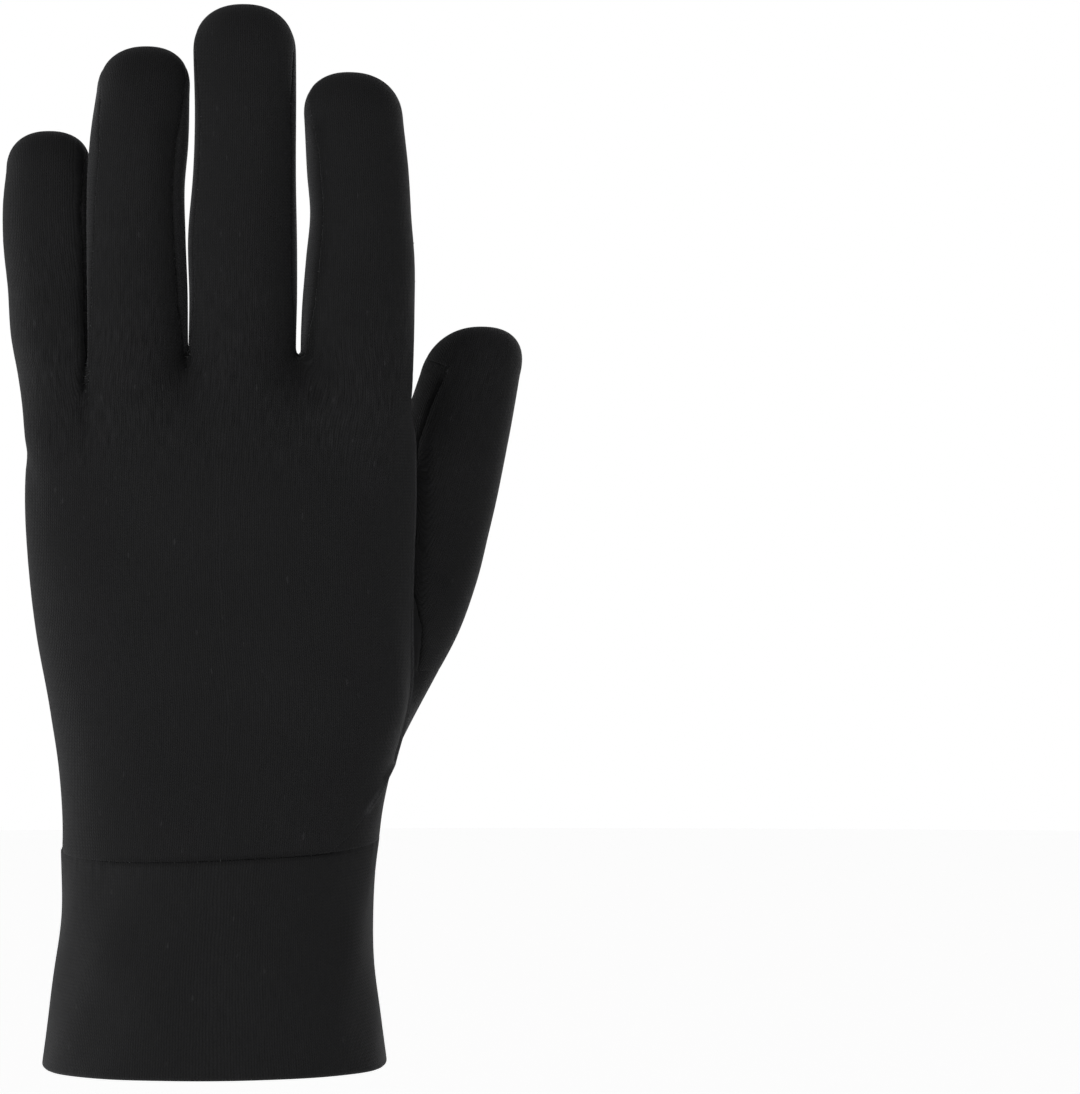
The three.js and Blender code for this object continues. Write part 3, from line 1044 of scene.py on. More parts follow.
class Nodes:
    """The nodes of one material, made by one method."""

    def __init__(self, tree: bpy.types.NodeTree) -> None:
        """Starts on an empty tree."""
        tree.nodes.clear()
        self.tree = tree

    def make(
        self, kind: str, settings: dict | None = None, inputs: dict | None = None
    ) -> bpy.types.Node:
        """Adds a node.

        Args:
            kind: The node's type.
            settings: What is set first, such as a Math node's operation.
            inputs: The value or link of each socket, by its name or number.

        Returns:
            The node.
        """
        node = self.tree.nodes.new(kind)
        for name, value in (settings or {}).items():
            setattr(node, name, value)
        for name, value in (inputs or {}).items():
            socket = node.inputs[name]
            if isinstance(value, Value):
                self.tree.links.new(value.socket, socket)
            elif isinstance(value, Socket):
                self.tree.links.new(value, socket)
            else:
                socket.default_value = value
        return node

    def value(self, socket: Socket) -> "Value":
        """Wraps a socket, so that Python's operators work on it."""
        return Value(self, socket)

    def mark(self, name: str) -> "Value":
        """Reads one of the numbers that a piece has at each point."""
        node = self.make("ShaderNodeAttribute", {"attribute_name": name})
        return self.value(node.outputs["Fac"])

    def cloth(self) -> list["Value"]:
        """Reads the pattern's u and v and the distance to a seam, in mm."""
        node = self.make("ShaderNodeAttribute", {"attribute_name": "cloth"})
        return self.split(node.outputs["Vector"])

    def split(self, vector: Socket) -> list["Value"]:
        """The three numbers of a vector."""
        node = self.make("ShaderNodeSeparateXYZ", None, {0: vector})
        return [self.value(socket) for socket in node.outputs]

    def noise(self, where: Socket, scale: float, detail: float) -> "Value":
        """A noise about 0.5.

        Args:
            where: The coordinates that it reads.
            scale: Its patches to a unit of them.
            detail: Its octaves.

        Returns:
            The noise.
        """
        inputs = {"Vector": where, "Scale": scale, "Detail": detail}
        node = self.make("ShaderNodeTexNoise", {"noise_dimensions": "3D"}, inputs)
        return self.value(node.outputs["Fac"])

    def between(self, share: "Value", first: Rgb, second: Rgb) -> Socket:
        """Mixes two colours.

        Args:
            share: How far the mix is from first to second.
            first: The colour where the share is 0.
            second: The colour where it is 1.

        Returns:
            The mix.
        """
        settings = {"data_type": "RGBA", "clamp_factor": True}
        inputs = {"Factor": share, 6: (*first, 1.0), 7: (*second, 1.0)}
        return self.make("ShaderNodeMix", settings, inputs).outputs[2]

    def shades(self, share: "Value", colour: Rgb, dark: float, light: float) -> Socket:
        """A colour from dark times itself, where the share is 0, to light times."""
        ends = (tuple(part * times for part in colour) for times in (dark, light))
        return self.between(share, *ends)

    def bump(self, height: "Value", strength: float = 1.0) -> Socket:
        """The normal of a surface that stands out by a height in mm."""
        inputs = {"Strength": strength, "Distance": MM, "Height": height}
        return self.make("ShaderNodeBump", None, inputs).outputs[0]

    def surface(self, inputs: dict) -> None:
        """Ends a material with its shader, by the values or links of its sockets."""
        shader = self.make("ShaderNodeBsdfPrincipled", None, inputs)
        self.make("ShaderNodeOutputMaterial", None, {"Surface": shader.outputs[0]})


def new_material(name: str) -> tuple[bpy.types.Material, Nodes]:
    """Adds a material.

    Args:
        name: Its name.

    Returns:
        The material, and its nodes, of which there are none yet.
    """
    material = bpy.data.materials.new(name)
    material.use_nodes = True
    return material, Nodes(material.node_tree)


def operator(kind: str, reflected: bool = False) -> Callable:
    """Makes an operator for Value that adds a Math node.

    Args:
        kind: What the node does with its two values.
        reflected: True where the other value is the first of the two.

    Returns:
        The operator's method.
    """

    def method(self: "Value", other: "Value | float") -> "Value":
        """Adds the node and gives its result."""
        return self.math(kind, *((other, self) if reflected else (self, other)))

    return method


class Value:
    """A number that changes over a surface, with Python's operators as Math nodes."""

    def __init__(self, nodes: Nodes, socket: Socket) -> None:
        """Holds a socket and the nodes that it belongs to."""
        self.nodes = nodes
        self.socket = socket

    def math(self, kind: str, *values: "Value | float") -> "Value":
        """Adds a Math node on these values."""
        node = self.nodes.make("ShaderNodeMath", {"operation": kind}, dict(enumerate(values)))
        return Value(self.nodes, node.outputs[0])

    __add__ = __radd__ = operator("ADD")
    __sub__ = operator("SUBTRACT")
    __rsub__ = operator("SUBTRACT", reflected=True)
    __mul__ = __rmul__ = operator("MULTIPLY")
    __truediv__ = operator("DIVIDE")
    __pow__ = operator("POWER")
    least = operator("MINIMUM")
    most = operator("MAXIMUM")

    def held(self) -> "Value":
        """This, but no less than 0 and no more than 1."""
        return self.most(0.0).least(1.0)

    def size(self) -> "Value":
        """This without its sign."""
        return self.math("ABSOLUTE", self)

    def part(self) -> "Value":
        """What is left of this over the whole number below it."""
        return self.math("FRACT", self)

    def cosine(self) -> "Value":
        """The cosine of this, in radians."""
        return self.math("COSINE", self)

    def bands(self) -> "Value":
        """Soft bands from 0 to 1, one for each whole number that this goes through."""
        return (self * WHOLE_TURN).cosine() * 0.5 + 0.5


@dataclass(frozen=True)
class Knit:
    """A black jersey knit: columns of V-shaped stitches, a soft nap and a dull sheen.

    Attributes:
        name: The material's name.
        colour: The cloth's own colour.
        wale: The width of a column of stitches, in mm.
        course: The height of a stitch, in mm.
        slant: How many courses a stitch's legs climb across half a wale.
        loft: How far the stitches stand out, in mm.
        nap: How far the loose fibres do, in mm.
        ribs: How far the uneven wales do, in mm.
        sheen: How strongly the nap lights up at a glancing angle.
        sheen_roughness: How widely it does.
        roughness: The cloth's mean roughness.
        uneven_at: The height where the wales are most uneven, in metres.
        uneven_reach: How far from there they are, in metres.
        heel_at: The height where they are on the palm's heel.
        heel_reach: How far from there they are.
        lint_from: The noise over which a fleck of lint shows.
        seam_shade: How much darker the cloth is in a seam.
        seam_reach: How far from a seam it is, in mm.
        dark: The darkest shade, as a share of the colour.
        light: The lightest one.
        rise: How far a shade of 1 more goes from the one to the other.
    """

    name: str
    colour: Rgb
    wale: float = 1.05
    course: float = 0.8
    slant: float = 1.7
    loft: float = 0.14
    nap: float = 0.05
    ribs: float = 0.12
    sheen: float = 0.03
    sheen_roughness: float = 0.45
    roughness: float = 0.92
    uneven_at: float = 0.172
    uneven_reach: float = 0.036
    heel_at: float = 0.095
    heel_reach: float = 0.022
    lint_from: float = 0.79
    seam_shade: float = 0.35
    seam_reach: float = 1.4
    dark: float = 0.3
    light: float = 3.0
    rise: float = 0.37

    def material(self) -> bpy.types.Material:
        """Builds the material.

        A stitch is two legs across a wale, each a parabola 1 less x squared, times a
        cosine along the course, which the legs' slant bends to a V.

        Returns:
            The material.
        """
        material, nodes = new_material(self.name)
        place = nodes.make("ShaderNodeTexCoord").outputs["Object"]
        across, along, seam = nodes.cloth()

        drift = nodes.noise(place, 260, 2) - 0.5
        column = (across + drift * 0.5) * (1 / self.wale)
        inside = (column.part() - 0.5).size()
        leg = 1 - ((inside - 0.25) * 4) ** 2
        climb = (along + drift * 0.4) * (1 / self.course) - inside * self.slant
        loop = climb.bands()
        packed = nodes.mark("bunched")
        stitch = leg * (loop * 0.5 + 0.5) * (1 - packed) + packed * 0.45

        ribs = nodes.make("ShaderNodeCombineXYZ", None, {0: across, 1: along * 0.1})
        streaks = nodes.noise(ribs.outputs[0], 2.1, 1) - 0.5
        stray = nodes.make("ShaderNodeCombineXYZ", None, {0: across, 1: along * 0.3})
        lint = nodes.noise(stray.outputs[0], 1.1, 0)
        lint = ((lint - self.lint_from) * 14).held()
        patches = nodes.noise(place, 38, 3)
        fibres = nodes.noise(place, 2600, 3)
        specks = nodes.noise(place, 900, 2)
        in_seam = 1 - (seam * (1 / self.seam_reach)).least(1.0)

        _, toward, up = nodes.split(place)
        over = (up - self.uneven_at) * (1 / self.uneven_reach)
        heel = (up - self.heel_at) * (1 / self.heel_reach)
        on_palm = (toward * 90).held()
        uneven = (1 - over**2).most(0.0) * 0.8 + 0.35
        uneven = (uneven + (1 - heel**2).most(0.0) * on_palm) * (1 - packed)
        # Painted shade and painted light: the streaks' painted shading and the welt crest's
        # painted highlight, read at each point
        flat = nodes.mark("shadow")

        shade = 0.70 + stitch * 0.34 + (patches - 0.5) * 0.35 + (fibres - 0.5) * 0.5
        shade = shade + streaks * uneven * (patches * 3.4 - 0.8).most(0.0) + lint * 0.7
        # The seam darkens the colour, and the painted shading darkens it further, or lightens
        # it where it is under 0
        shade = shade * (1 - in_seam * self.seam_shade) * (1 - flat)
        share = (shade - self.dark) * self.rise
        colour = nodes.shades(share, self.colour, self.dark, self.light)
        roughness = self.roughness + (specks - 0.5) * 0.14 - stitch * 0.04

        height = stitch * self.loft + (fibres + specks) * self.nap
        height = height + streaks * uneven * self.ribs
        nodes.surface(
            {
                "Base Color": colour,
                "Roughness": roughness,
                "Normal": nodes.bump(height),
                "Sheen Weight": self.sheen,
                "Sheen Roughness": self.sheen_roughness,
                "Sheen Tint": (0.95, 0.96, 1.0, 1.0),
                "Specular IOR Level": 0.08,
            }
        )
        return material


@dataclass(frozen=True)
class Thread:
    """A matt spun sewing thread, twisted about its own line.

    Attributes:
        name: The material's name.
        colour: The thread's mean colour.
        plies: How many plies pass in a mm.
        relief: How far a ply stands out, in mm.
        dark: The darkest shade's share of the colour.
        light: The lightest shade's share of it.
    """

    name: str = "seam_thread"
    colour: Rgb = (0.008, 0.008, 0.0084)
    plies: float = 7.0
    relief: float = 0.05
    dark: float = 0.5
    light: float = 1.6

    def material(self) -> bpy.types.Material:
        """Builds the material: the plies are bands that slant round the thread.

        Returns:
            The material.
        """
        material, nodes = new_material(self.name)
        around, along, _ = nodes.cloth()
        ply = (along * self.plies + around).bands()
        nodes.surface(
            {
                "Base Color": nodes.shades(ply, self.colour, self.dark, self.light),
                "Roughness": 0.8 - ply * 0.1,
                "Normal": nodes.bump(ply * self.relief, 0.8),
                "Sheen Weight": 0.1,
                "Specular IOR Level": 0.3,
            }
        )
        return material


def put_piece(
    name: str,
    points: Array,
    faces: Iterable,
    cloth: Array,
    material: bpy.types.Material,
    marks: dict[str, Array] | None = None,
) -> bpy.types.Object:
    """Makes a piece of the glove from arrays.

    Args:
        name: The piece's name.
        points: Its points, in mm.
        faces: The corners of its faces.
        cloth: The pattern's u and v and the distance to a seam, in mm, at each point or
            at each face's corners.
        material: Its finish.
        marks: More numbers that its finish reads at each point, by their names.

    Returns:
        The piece, at the origin.
    """
    corners = np.asarray(faces, np.int32)
    count = len(corners)
    sides = corners.shape[1]
    mesh = bpy.data.meshes.new(name)
    mesh.vertices.add(len(points))
    mesh.vertices.foreach_set("co", (points * MM).astype(np.float32).ravel())
    mesh.loops.add(count * sides)
    mesh.loops.foreach_set("vertex_index", corners.ravel())
    mesh.polygons.add(count)
    mesh.polygons.foreach_set("loop_start", np.arange(0, count * sides, sides))
    mesh.polygons.foreach_set("use_smooth", np.ones(count, bool))
    mesh.update(calc_edges=True)
    where = "POINT" if len(cloth) == len(points) else "CORNER"
    laid = mesh.attributes.new("cloth", "FLOAT_VECTOR", where)
    laid.data.foreach_set("vector", cloth.astype(np.float32).ravel())
    for mark, amount in (marks or {}).items():
        numbers = mesh.attributes.new(mark, "FLOAT", "POINT")
        numbers.data.foreach_set("value", amount.astype(np.float32))
    mesh.materials.append(material)
    mesh.validate()
    piece = bpy.data.objects.new(name, mesh)
    bpy.context.scene.collection.objects.link(piece)
    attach(piece, "root")
    LOG.info("%s: %d points, %d faces of %d sides", name, len(points), count, sides)
    return piece


class Sewn(NamedTuple):
    """The skin cut along its seams and rolled into them.

    Attributes:
        mesh: The skin.
        label: The number of each triangle's piece.
        outward: The outward direction at each point.
        away: The distance to a seam at each point, in mm.
        shadow: The painted shade at each point, less than 0 where it is painted light.
        lines: The seams' lines, as rows of point numbers.
    """

    mesh: TriMesh
    label: Array
    outward: Array
    away: Array
    shadow: Array
    lines: list[list[int]]


def wrist_seam_shows(x: Array) -> Array:
    """How far the wrist seam shows at each x: it runs out towards the glove's edges."""
    return 1 - 0.8 * smooth_step(25.0, 31.0, np.abs(x))


@dataclass(frozen=True)
class Cutting:
    """Where the cloth of the hand is cut: the zones of its pieces.

    Attributes:
        form: The smooth form that the cloth lies on.
        wrist: The wrist seam's plane: its height, and its rise a mm of x and of y.
        tip_seam: How far under a fingertip the back panel's edge lies on the palm side.
        tip_seam_drop: How much lower it lies at the finger's sides.
        crotch_heights: The height of each crotch, from the index finger's on.
        strip_below_crotch: How far a side strip's foot lies under its crotch.
        strip_to_back: How far the strips on each finger lie nearer the back than its
            middle.
        side_seam: Between these heights the side seam turns from the hand's parting to
            the finger's own middle.
        thumb_back: The thumb panel stays on the palm's side of this height along Y.
    """

    form: HandForm = HandForm()
    wrist: tuple[float, float, float] = WRIST_SEAM
    tip_seam: float = 5.0
    tip_seam_drop: float = 4.6
    crotch_heights: tuple[float, float, float] = (170.0, 168.0, 161.0)
    strip_below_crotch: float = 2.0
    strip_to_back: tuple[float, ...] = (1.2, -1.0, 1.0, 0.6)
    side_seam: Span = (150.0, 166.0)
    thumb_back: float = -0.4

    def above_wrist(self, points: Array) -> Array:
        """How far each point is over the wrist seam's plane."""
        height, to_thumb, to_palm = self.wrist
        return points[:, 2] - height - to_thumb * points[:, 0] - to_palm * points[:, 1]

    def on_thumb(self, points: Array) -> Array:
        """The thumb panel's zone: over 0 inside its seams.

        It is what lies past the palm seam's x over the seam's y, or past the back
        seam's x under it, on the palm's side of a height and over its lowest row.

        Args:
            points: One point a row, in mm.

        Returns:
            The zone's value at each point.
        """
        x, y, z = points.T
        rows = np.array(THUMB_SEAMS)
        palm_x, back_x, seam_y = (np.interp(z, rows[:, 0], rows[:, i]) for i in (1, 2, 3))
        wider = np.maximum(x - palm_x, np.minimum(x - back_x, seam_y - y))
        lower = np.maximum(x - back_x, np.minimum(x - palm_x, y - seam_y))
        beyond = np.where(back_x < palm_x, wider, lower)
        return np.minimum(np.minimum(beyond, y - self.thumb_back), z - rows[0, 0])

    def pair(self, points: Array, finger: Array) -> Array:
        """The number of the strip on each point's side of its finger, -1 or 3 for none."""
        return finger - (points[:, 0] > self.form.own_level(points[:, 2], finger, 0))

    def on_strip(self, points: Array) -> Array:
        """The side strips' zone: over 0 inside their seams.

        A strip's half width is read at the share of the way from its foot to the tip of
        the finger that the point is on, and the value is what is left of it.

        Args:
            points: One point a row, in mm.

        Returns:
            The zone's value at each point.
        """
        _, y, z = points.T
        finger = self.form.nearest_finger(points)
        tips = self.form.tips(finger)
        pair = self.pair(points, finger)
        crotch = np.array(self.crotch_heights)[np.clip(pair, 0, 2)]
        foot = crotch - self.strip_below_crotch
        share = (z - foot) / (tips - foot)
        half = np.interp(share, STRIP_SHARE, STRIP_HALF_WIDTH)
        half = np.where(share > STRIP_SHARE[-1], -1.0, half)
        middle = self.form.own_level(z, finger, 2) - np.array(self.strip_to_back)[finger]
        inside = np.minimum(half - np.abs(y - middle), z - foot)
        return np.where((pair >= 0) & (pair <= 2), inside, -9.0)

    def on_palm(self, points: Array) -> Array:
        """The palm panel's zone: over 0 inside its seams.

        It is what lies on the palm's side of the parting and under the tip seams, which
        drop with the cube of the share across the finger, and what wraps round the
        thumb's side of the wrist.

        Args:
            points: One point a row, in mm.

        Returns:
            The zone's value at each point.
        """
        x, y, z = points.T
        finger = self.form.nearest_finger(points)
        on_finger = smooth_step(*self.side_seam, z)
        parting = np.interp(z, PARTING_Z, PARTING_Y) * (1 - on_finger)
        parted = y - parting - self.form.own_level(z, finger, 2) * on_finger
        across = np.stack([tube.shares(points)[0] for tube in self.form.fingers])
        own = np.abs(across[finger, np.arange(len(points))])
        drop = self.tip_seam_drop * np.minimum(own, 1.2) ** 3
        seam = self.form.tips(finger) - self.tip_seam - drop
        wrapped = np.minimum(x - np.interp(z, WRAP_Z, WRAP_X), WRAP_Z[-1] - z)
        return np.maximum(np.minimum(parted, seam - z), wrapped)

    def parts(self, mesh: TriMesh) -> Array:
        """Tells which piece of cloth each triangle belongs to.

        Args:
            mesh: The skin, cut along its seams.

        Returns:
            The number of each triangle's piece in PART_ORDER.
        """
        centres = mesh.centres()
        number = {part: count for count, part in enumerate(PART_ORDER)}
        label = np.where(self.on_palm(centres) > 0, number[Part.PALM], number[Part.BACK])
        pair = self.pair(centres, self.form.nearest_finger(centres))
        strip = number[STRIPS[0]] + np.clip(pair, 0, 2)
        label = np.where(self.on_strip(centres) > 0, strip, label)
        return np.where(self.on_thumb(centres) > 0, number[Part.THUMB], label)


@dataclass(frozen=True)
class Skin:
    """The even mesh that the cloth is cut from.

    It is meshed with the fingers held apart, as their faces nearly touch, and each point
    is then moved on to the form.

    Attributes:
        cutting: The form and the crotches.
        voxel: The size of the mesh's faces, in mm.
        held_apart: How far the fingers are held apart while the skin is meshed.
        crotch_zone: The fingers part from and to these heights over a crotch.
    """

    cutting: Cutting
    voxel: float = 0.8
    quick_voxel: float = 1.6
    held_apart: float = 3.2
    crotch_zone: Span = (-4.0, 1.0)

    def spread(self, z: Array, finger: int) -> Array:
        """How far a finger is held aside at each height while the skin is meshed.

        At each crotch the gap widens by a smooth step, so that the faces of two fingers
        that nearly touch stay apart.

        Args:
            z: The heights.
            finger: The finger's number.

        Returns:
            How far it is held to the thumb's side, in mm.
        """
        low, high = self.crotch_zone
        first, second, third = (
            self.held_apart * smooth_step(crotch + low, crotch + high, z)
            for crotch in self.cutting.crotch_heights
        )
        return (first, np.zeros_like(z), -second, -second - third)[finger]

    def rough(self) -> tuple[Array, list]:
        """Builds the tubes as overlapping closed grids, with the fingers held apart.

        Returns:
            The points and the faces.
        """
        form = self.cutting.form
        points = []
        faces = []
        count = 0
        ring, little = form.fingers[2:]
        for tube in form.tubes:
            some, corners = tube.loft(sides=72, step=1.0)
            past = form.pressed.past(some)
            if tube is ring:
                some[:, 0] += np.maximum(form.pressed.gap - past, 0)
            if tube is little:
                some[:, 0] -= np.maximum(form.pressed.gap + past, 0)
            if tube in form.fingers:
                some[:, 0] += self.spread(some[:, 2], form.fingers.index(tube))
            points.append(some)
            faces += [[corner + count for corner in face] for face in corners]
            count += len(some)
        return np.concatenate(points), faces

    def settle(self, mesh: TriMesh, beside: Array, rounds: int) -> None:
        """Moves each point on to the form, against the field's slope by its value.

        Args:
            mesh: The mesh whose points move.
            beside: The side of the pressed plane that each point counts for.
            rounds: How many times each point moves.
        """
        form = self.cutting.form
        for _ in range(rounds):
            value = form.reach(mesh.points, beside)
            slope = form.slope(mesh.points, beside)
            steep = np.maximum((slope**2).sum(axis=1), 0.2)
            step = np.clip(value / steep, -1.0, 1.0)
            mesh.points -= step[:, None] * slope

    def build(self) -> TriMesh:
        """Makes the mesh, draws it on to the form and evens it again.

        Returns:
            The mesh, with its points on the form.
        """
        form = self.cutting.form
        voxel = self.voxel
        mesh = evened(*self.rough(), voxel)
        z = mesh.points[:, 2]
        aside = np.stack([self.spread(z, finger) for finger in range(4)])
        away = np.stack(
            [
                tube.reach(mesh.points - np.outer(shift, (1, 0, 0)))
                for tube, shift in zip(form.fingers, aside)
            ]
        )
        finger = np.argmin(away, axis=0)
        mesh.points[:, 0] -= aside[finger, np.arange(len(z))]
        apart = z > self.cutting.crotch_heights[2]
        beside = form.beside(mesh.points)
        beside = np.where(apart, np.where(finger == 3, -1.0, 1.0), beside)
        self.settle(mesh, beside, rounds=4)
        for _ in range(4):
            mesh.relax(share=0.5)
            self.settle(mesh, beside, rounds=1)
        self.settle(mesh, beside, rounds=1)
        LOG.info("skin: %d triangles of about %.2f mm", len(mesh.triangles), voxel)
        return mesh


@dataclass(frozen=True)
class SeamLook:
    """How the cloth lies and shows at its seams.

    Attributes:
        cutting: Where the seams are.
        roll: How far from a seam the cloth begins to roll into it.
        valley: How deep it rolls.
        thumb_valley: How deep it does round the thumb,
        deep_away: from and to these distances from the thumb's tube,
        deep_z: these heights
        deep_y: and these heights along Y.
        tip_valley: How deep it does over the fingertips and at the wrist.
        tip_zone: A point is near a tip from and to these distances under it.
        tip_faint: How much fainter the seams are there.
        side_faint: The same on the outer side of the thumb,
        side_x: over this x.
        beside_thumb: A point nearer than this to the thumb's tube is on the thumb.
        edge: A point is at the wrist seam up to this height over it.
        foot_reach: How far from the thumb panel's foot its seam there runs out.
        foot_beside: The seam is there from this far beyond the panel's palm seam on.
        foot_faint: How much fainter it is there.
        foot_flat: How much flatter it is.
        welt: How high the seam on the thumb's side of the hand is pinched up.
        painted_crest_light: How much lighter the welt's crest is painted, a painted highlight,
        painted_crest_light_reach: which sets in from and to these distances from the seam.
        welt_foot: From and to these heights the welt rises.
        welt_top: From and to these heights it ends.
        welt_x: It begins between these x.
        welt_y: It begins between these heights along Y.
        wrap_x: The wrap's seam fades between these x on the back of the wrist,
        wrap_z: these heights
        wrap_over: and these heights over the wrist seam.
        thumb_lines: A seam's line is the thumb's over this x, between these heights.
        unsewn: No stitches show behind the thumb: over this x, under this height along
            Y and between these heights.
    """

    cutting: Cutting
    roll: float = 1.9
    valley: float = 0.5
    thumb_valley: float = 0.8
    deep_away: Span = (3.0, 1.0)
    deep_z: Span = (88.0, 93.0)
    deep_y: Span = (5.0, 11.0)
    tip_valley: float = 0.3
    tip_zone: Span = (14.0, 10.5)
    tip_faint: float = 0.5
    side_faint: float = 0.8
    side_x: float = 50.0
    beside_thumb: float = 1.5
    edge: float = 2.2
    foot_reach: float = 2.2
    foot_beside: float = 1.5
    foot_faint: float = 0.7
    foot_flat: float = 0.75
    welt: float = 0.9
    painted_crest_light: float = 1.4
    painted_crest_light_reach: Span = (1.0, 0.3)
    welt_foot: Span = (60.0, 63.0)
    welt_top: Span = (160.0, 150.0)
    welt_x: Span = (33.0, 35.5)
    welt_y: Span = (-0.5, -1.2)
    wrap_x: Span = (22.0, 26.0)
    wrap_z: Span = (62.5, 60.0)
    wrap_over: Span = (1.6, 2.4)
    thumb_lines: tuple[float, float, float] = (36.0, 88.0, 180.0)
    unsewn: tuple[float, float, float, float] = (44.0, 8.0, 90.0, 176.0)

    def depth(self, points: Array) -> Array:
        """How deep the cloth rolls into a seam near each point.

        The palm's side of the thumb's seams is the deepest, the fingertips' and the
        wrist's seams are the flattest, and so is the foot of the thumb panel.

        Args:
            points: One point a row, in mm.

        Returns:
            The depth at each point, in mm.
        """
        _, y, z = points.T
        thumb = smooth_step(*self.deep_away, self.cutting.form.thumb.reach(points))
        thumb = thumb * smooth_step(*self.deep_z, z) * smooth_step(*self.deep_y, y)
        at_wrist = self.cutting.above_wrist(points) < self.edge
        flat = np.maximum(self.near_tip(points), at_wrist)
        deepest = self.valley + (self.thumb_valley - self.valley) * thumb
        deepest = deepest + (self.tip_valley - deepest) * flat
        return deepest * (1 - self.foot_flat * self.thumb_foot(points))

    def shows(self, points: Array) -> Array:
        """How far a seam shows near each point, from 0 to 1.

        The wrist seam runs out towards the glove's edges, and the wrap's seam runs out
        before it comes down to the wrist.

        Args:
            points: One point a row, in mm.

        Returns:
            One share a point.
        """
        x, y, z = points.T
        over = self.cutting.above_wrist(points)
        wrist = np.where(over < self.edge, wrist_seam_shows(x), 1.0)
        less = np.where(x > self.side_x, self.side_faint, self.tip_faint)
        faint = 1 - less * self.near_tip(points)
        faint = faint * (1 - self.foot_faint * self.thumb_foot(points))
        wrap = smooth_step(*self.wrap_x, x) * (y < 0) * smooth_step(*self.wrap_z, z)
        return wrist * faint * (1 - wrap * smooth_step(*self.wrap_over, over))

    def welted(self, points: Array) -> Array:
        """Where the seam on the thumb's side of the hand is pinched up in a welt.

        Args:
            points: One point a row, in mm.

        Returns:
            How far it is, from 0 to 1.
        """
        x, y, z = points.T
        along = smooth_step(*self.welt_foot, z) * smooth_step(*self.welt_top, z)
        return along * smooth_step(*self.welt_x, x) * smooth_step(*self.welt_y, y)

    def near_tip(self, points: Array) -> Array:
        """How near each point is to the top of its finger or of the thumb, 0 to 1.

        Args:
            points: One point a row, in mm.

        Returns:
            One share a point.
        """
        form = self.cutting.form
        on_thumb = form.thumb.reach(points) < self.beside_thumb
        tips = form.tips(form.nearest_finger(points))
        tips = np.where(on_thumb, form.thumb.tip, tips)
        return smooth_step(*self.tip_zone, tips - points[:, 2])

    def thumb_foot(self, points: Array) -> Array:
        """How near each point is to the seam across the thumb panel's foot, 0 to 1.

        Args:
            points: One point a row, in mm.

        Returns:
            One share a point.
        """
        below = (points[:, 2] - THUMB_SEAMS[0].z) / self.foot_reach
        beside = points[:, 0] > THUMB_SEAMS[0].palm_x + self.foot_beside
        return bell(below) * beside

    def above_thumb(self, line: Array) -> bool:
        """Tells whether a seam's line lies on the thumb.

        Args:
            line: The line's points, in order.

        Returns:
            Whether its middle point does.
        """
        x, _, z = line[len(line) // 2]
        side, low, high = self.thumb_lines
        return bool(x > side and low < z < high)

    def is_sewn(self, places: Array) -> Array:
        """Tells where stitches show: not over the tips, on the welt or behind the thumb.

        Args:
            places: The stitches' places.

        Returns:
            True for each that shows.
        """
        if not len(places):
            return np.zeros(0, bool)
        shows = self.shows(places) * (1 - self.welted(places))
        x, y, z = places.T
        side, front, low, high = self.unsewn
        inner = (x > side) & (y < front) & (z > low) & (z < high)
        return (self.near_tip(places) < 0.5) & (shows > 0.5) & ~inner


def seam_edges(mesh: TriMesh, label: Array) -> tuple[Array, Array]:
    """Finds the mesh's edges that lie in a seam.

    Args:
        mesh: The cut skin.
        label: The piece of each triangle.

    Returns:
        The ends of the edges between two pieces, and those at the wrist.
    """
    ends, of_triangle = mesh.edges()
    count = np.bincount(of_triangle.ravel(), minlength=len(ends))
    low = np.full(len(ends), 99)
    high = np.full(len(ends), -1)
    np.minimum.at(low, of_triangle.ravel(), np.repeat(label, 3))
    np.maximum.at(high, of_triangle.ravel(), np.repeat(label, 3))
    return ends[(low != high) & (count == 2)], ends[count == 1]


def seam_distance(points: Array, targets: Array) -> Array:
    """The distance from each point to the nearest target, at most SEAM_REACH.

    The points are taken in layers from the lowest up, and each layer is compared
    with the targets that lie near its heights.

    Args:
        points: One point a row, in mm.
        targets: Points along the seams, sorted by height.

    Returns:
        The distances.
    """
    order = np.argsort(points[:, 2])
    away = np.full(len(points), SEAM_REACH**2)
    for start in range(0, len(points), LAYER):
        layer = order[start : start + LAYER]
        some = points[layer]
        heights = (some[0, 2] - SEAM_REACH, some[-1, 2] + SEAM_REACH)
        low, high = np.searchsorted(targets[:, 2], heights)
        near = targets[low:high]
        if high > low:
            squared = (some**2).sum(axis=1)[:, None] + (near**2).sum(axis=1)
            squared -= 2 * some @ near.T
            away[layer] = np.minimum(squared.min(axis=1), SEAM_REACH**2)
    return np.sqrt(np.maximum(away, 0.0))


def seam_targets(mesh: TriMesh, seams: Array) -> Array:
    """Points along the seams' edges, a third of an edge apart, sorted by height.

    Args:
        mesh: The cut skin.
        seams: The two ends of each edge in a seam.

    Returns:
        The points.
    """
    one = mesh.points[seams[:, 0]]
    other = mesh.points[seams[:, 1]]
    shares = (0.0, 1 / 3, 2 / 3, 1.0)
    targets = np.concatenate([one + share * (other - one) for share in shares])
    return targets[np.argsort(targets[:, 2])]


def painted_light_and_shade(points: Array) -> Array:
    """How much painted shade each point gets: 1 less the product of the streaks' light.

    A streak's light is 1 less its strength times a bell of the distance from its line,
    as a share of its radius.

    Args:
        points: One point a row, in mm.

    Returns:
        The painted shade, less than 0 where it is painted light.
    """
    light = np.ones(len(points))
    for streak in PAINTED_SHADE_STREAKS:
        away = off_line(points, streak.start, streak.end) / streak.radius
        light *= 1 - streak.strength * bell(away)
    return 1 - light


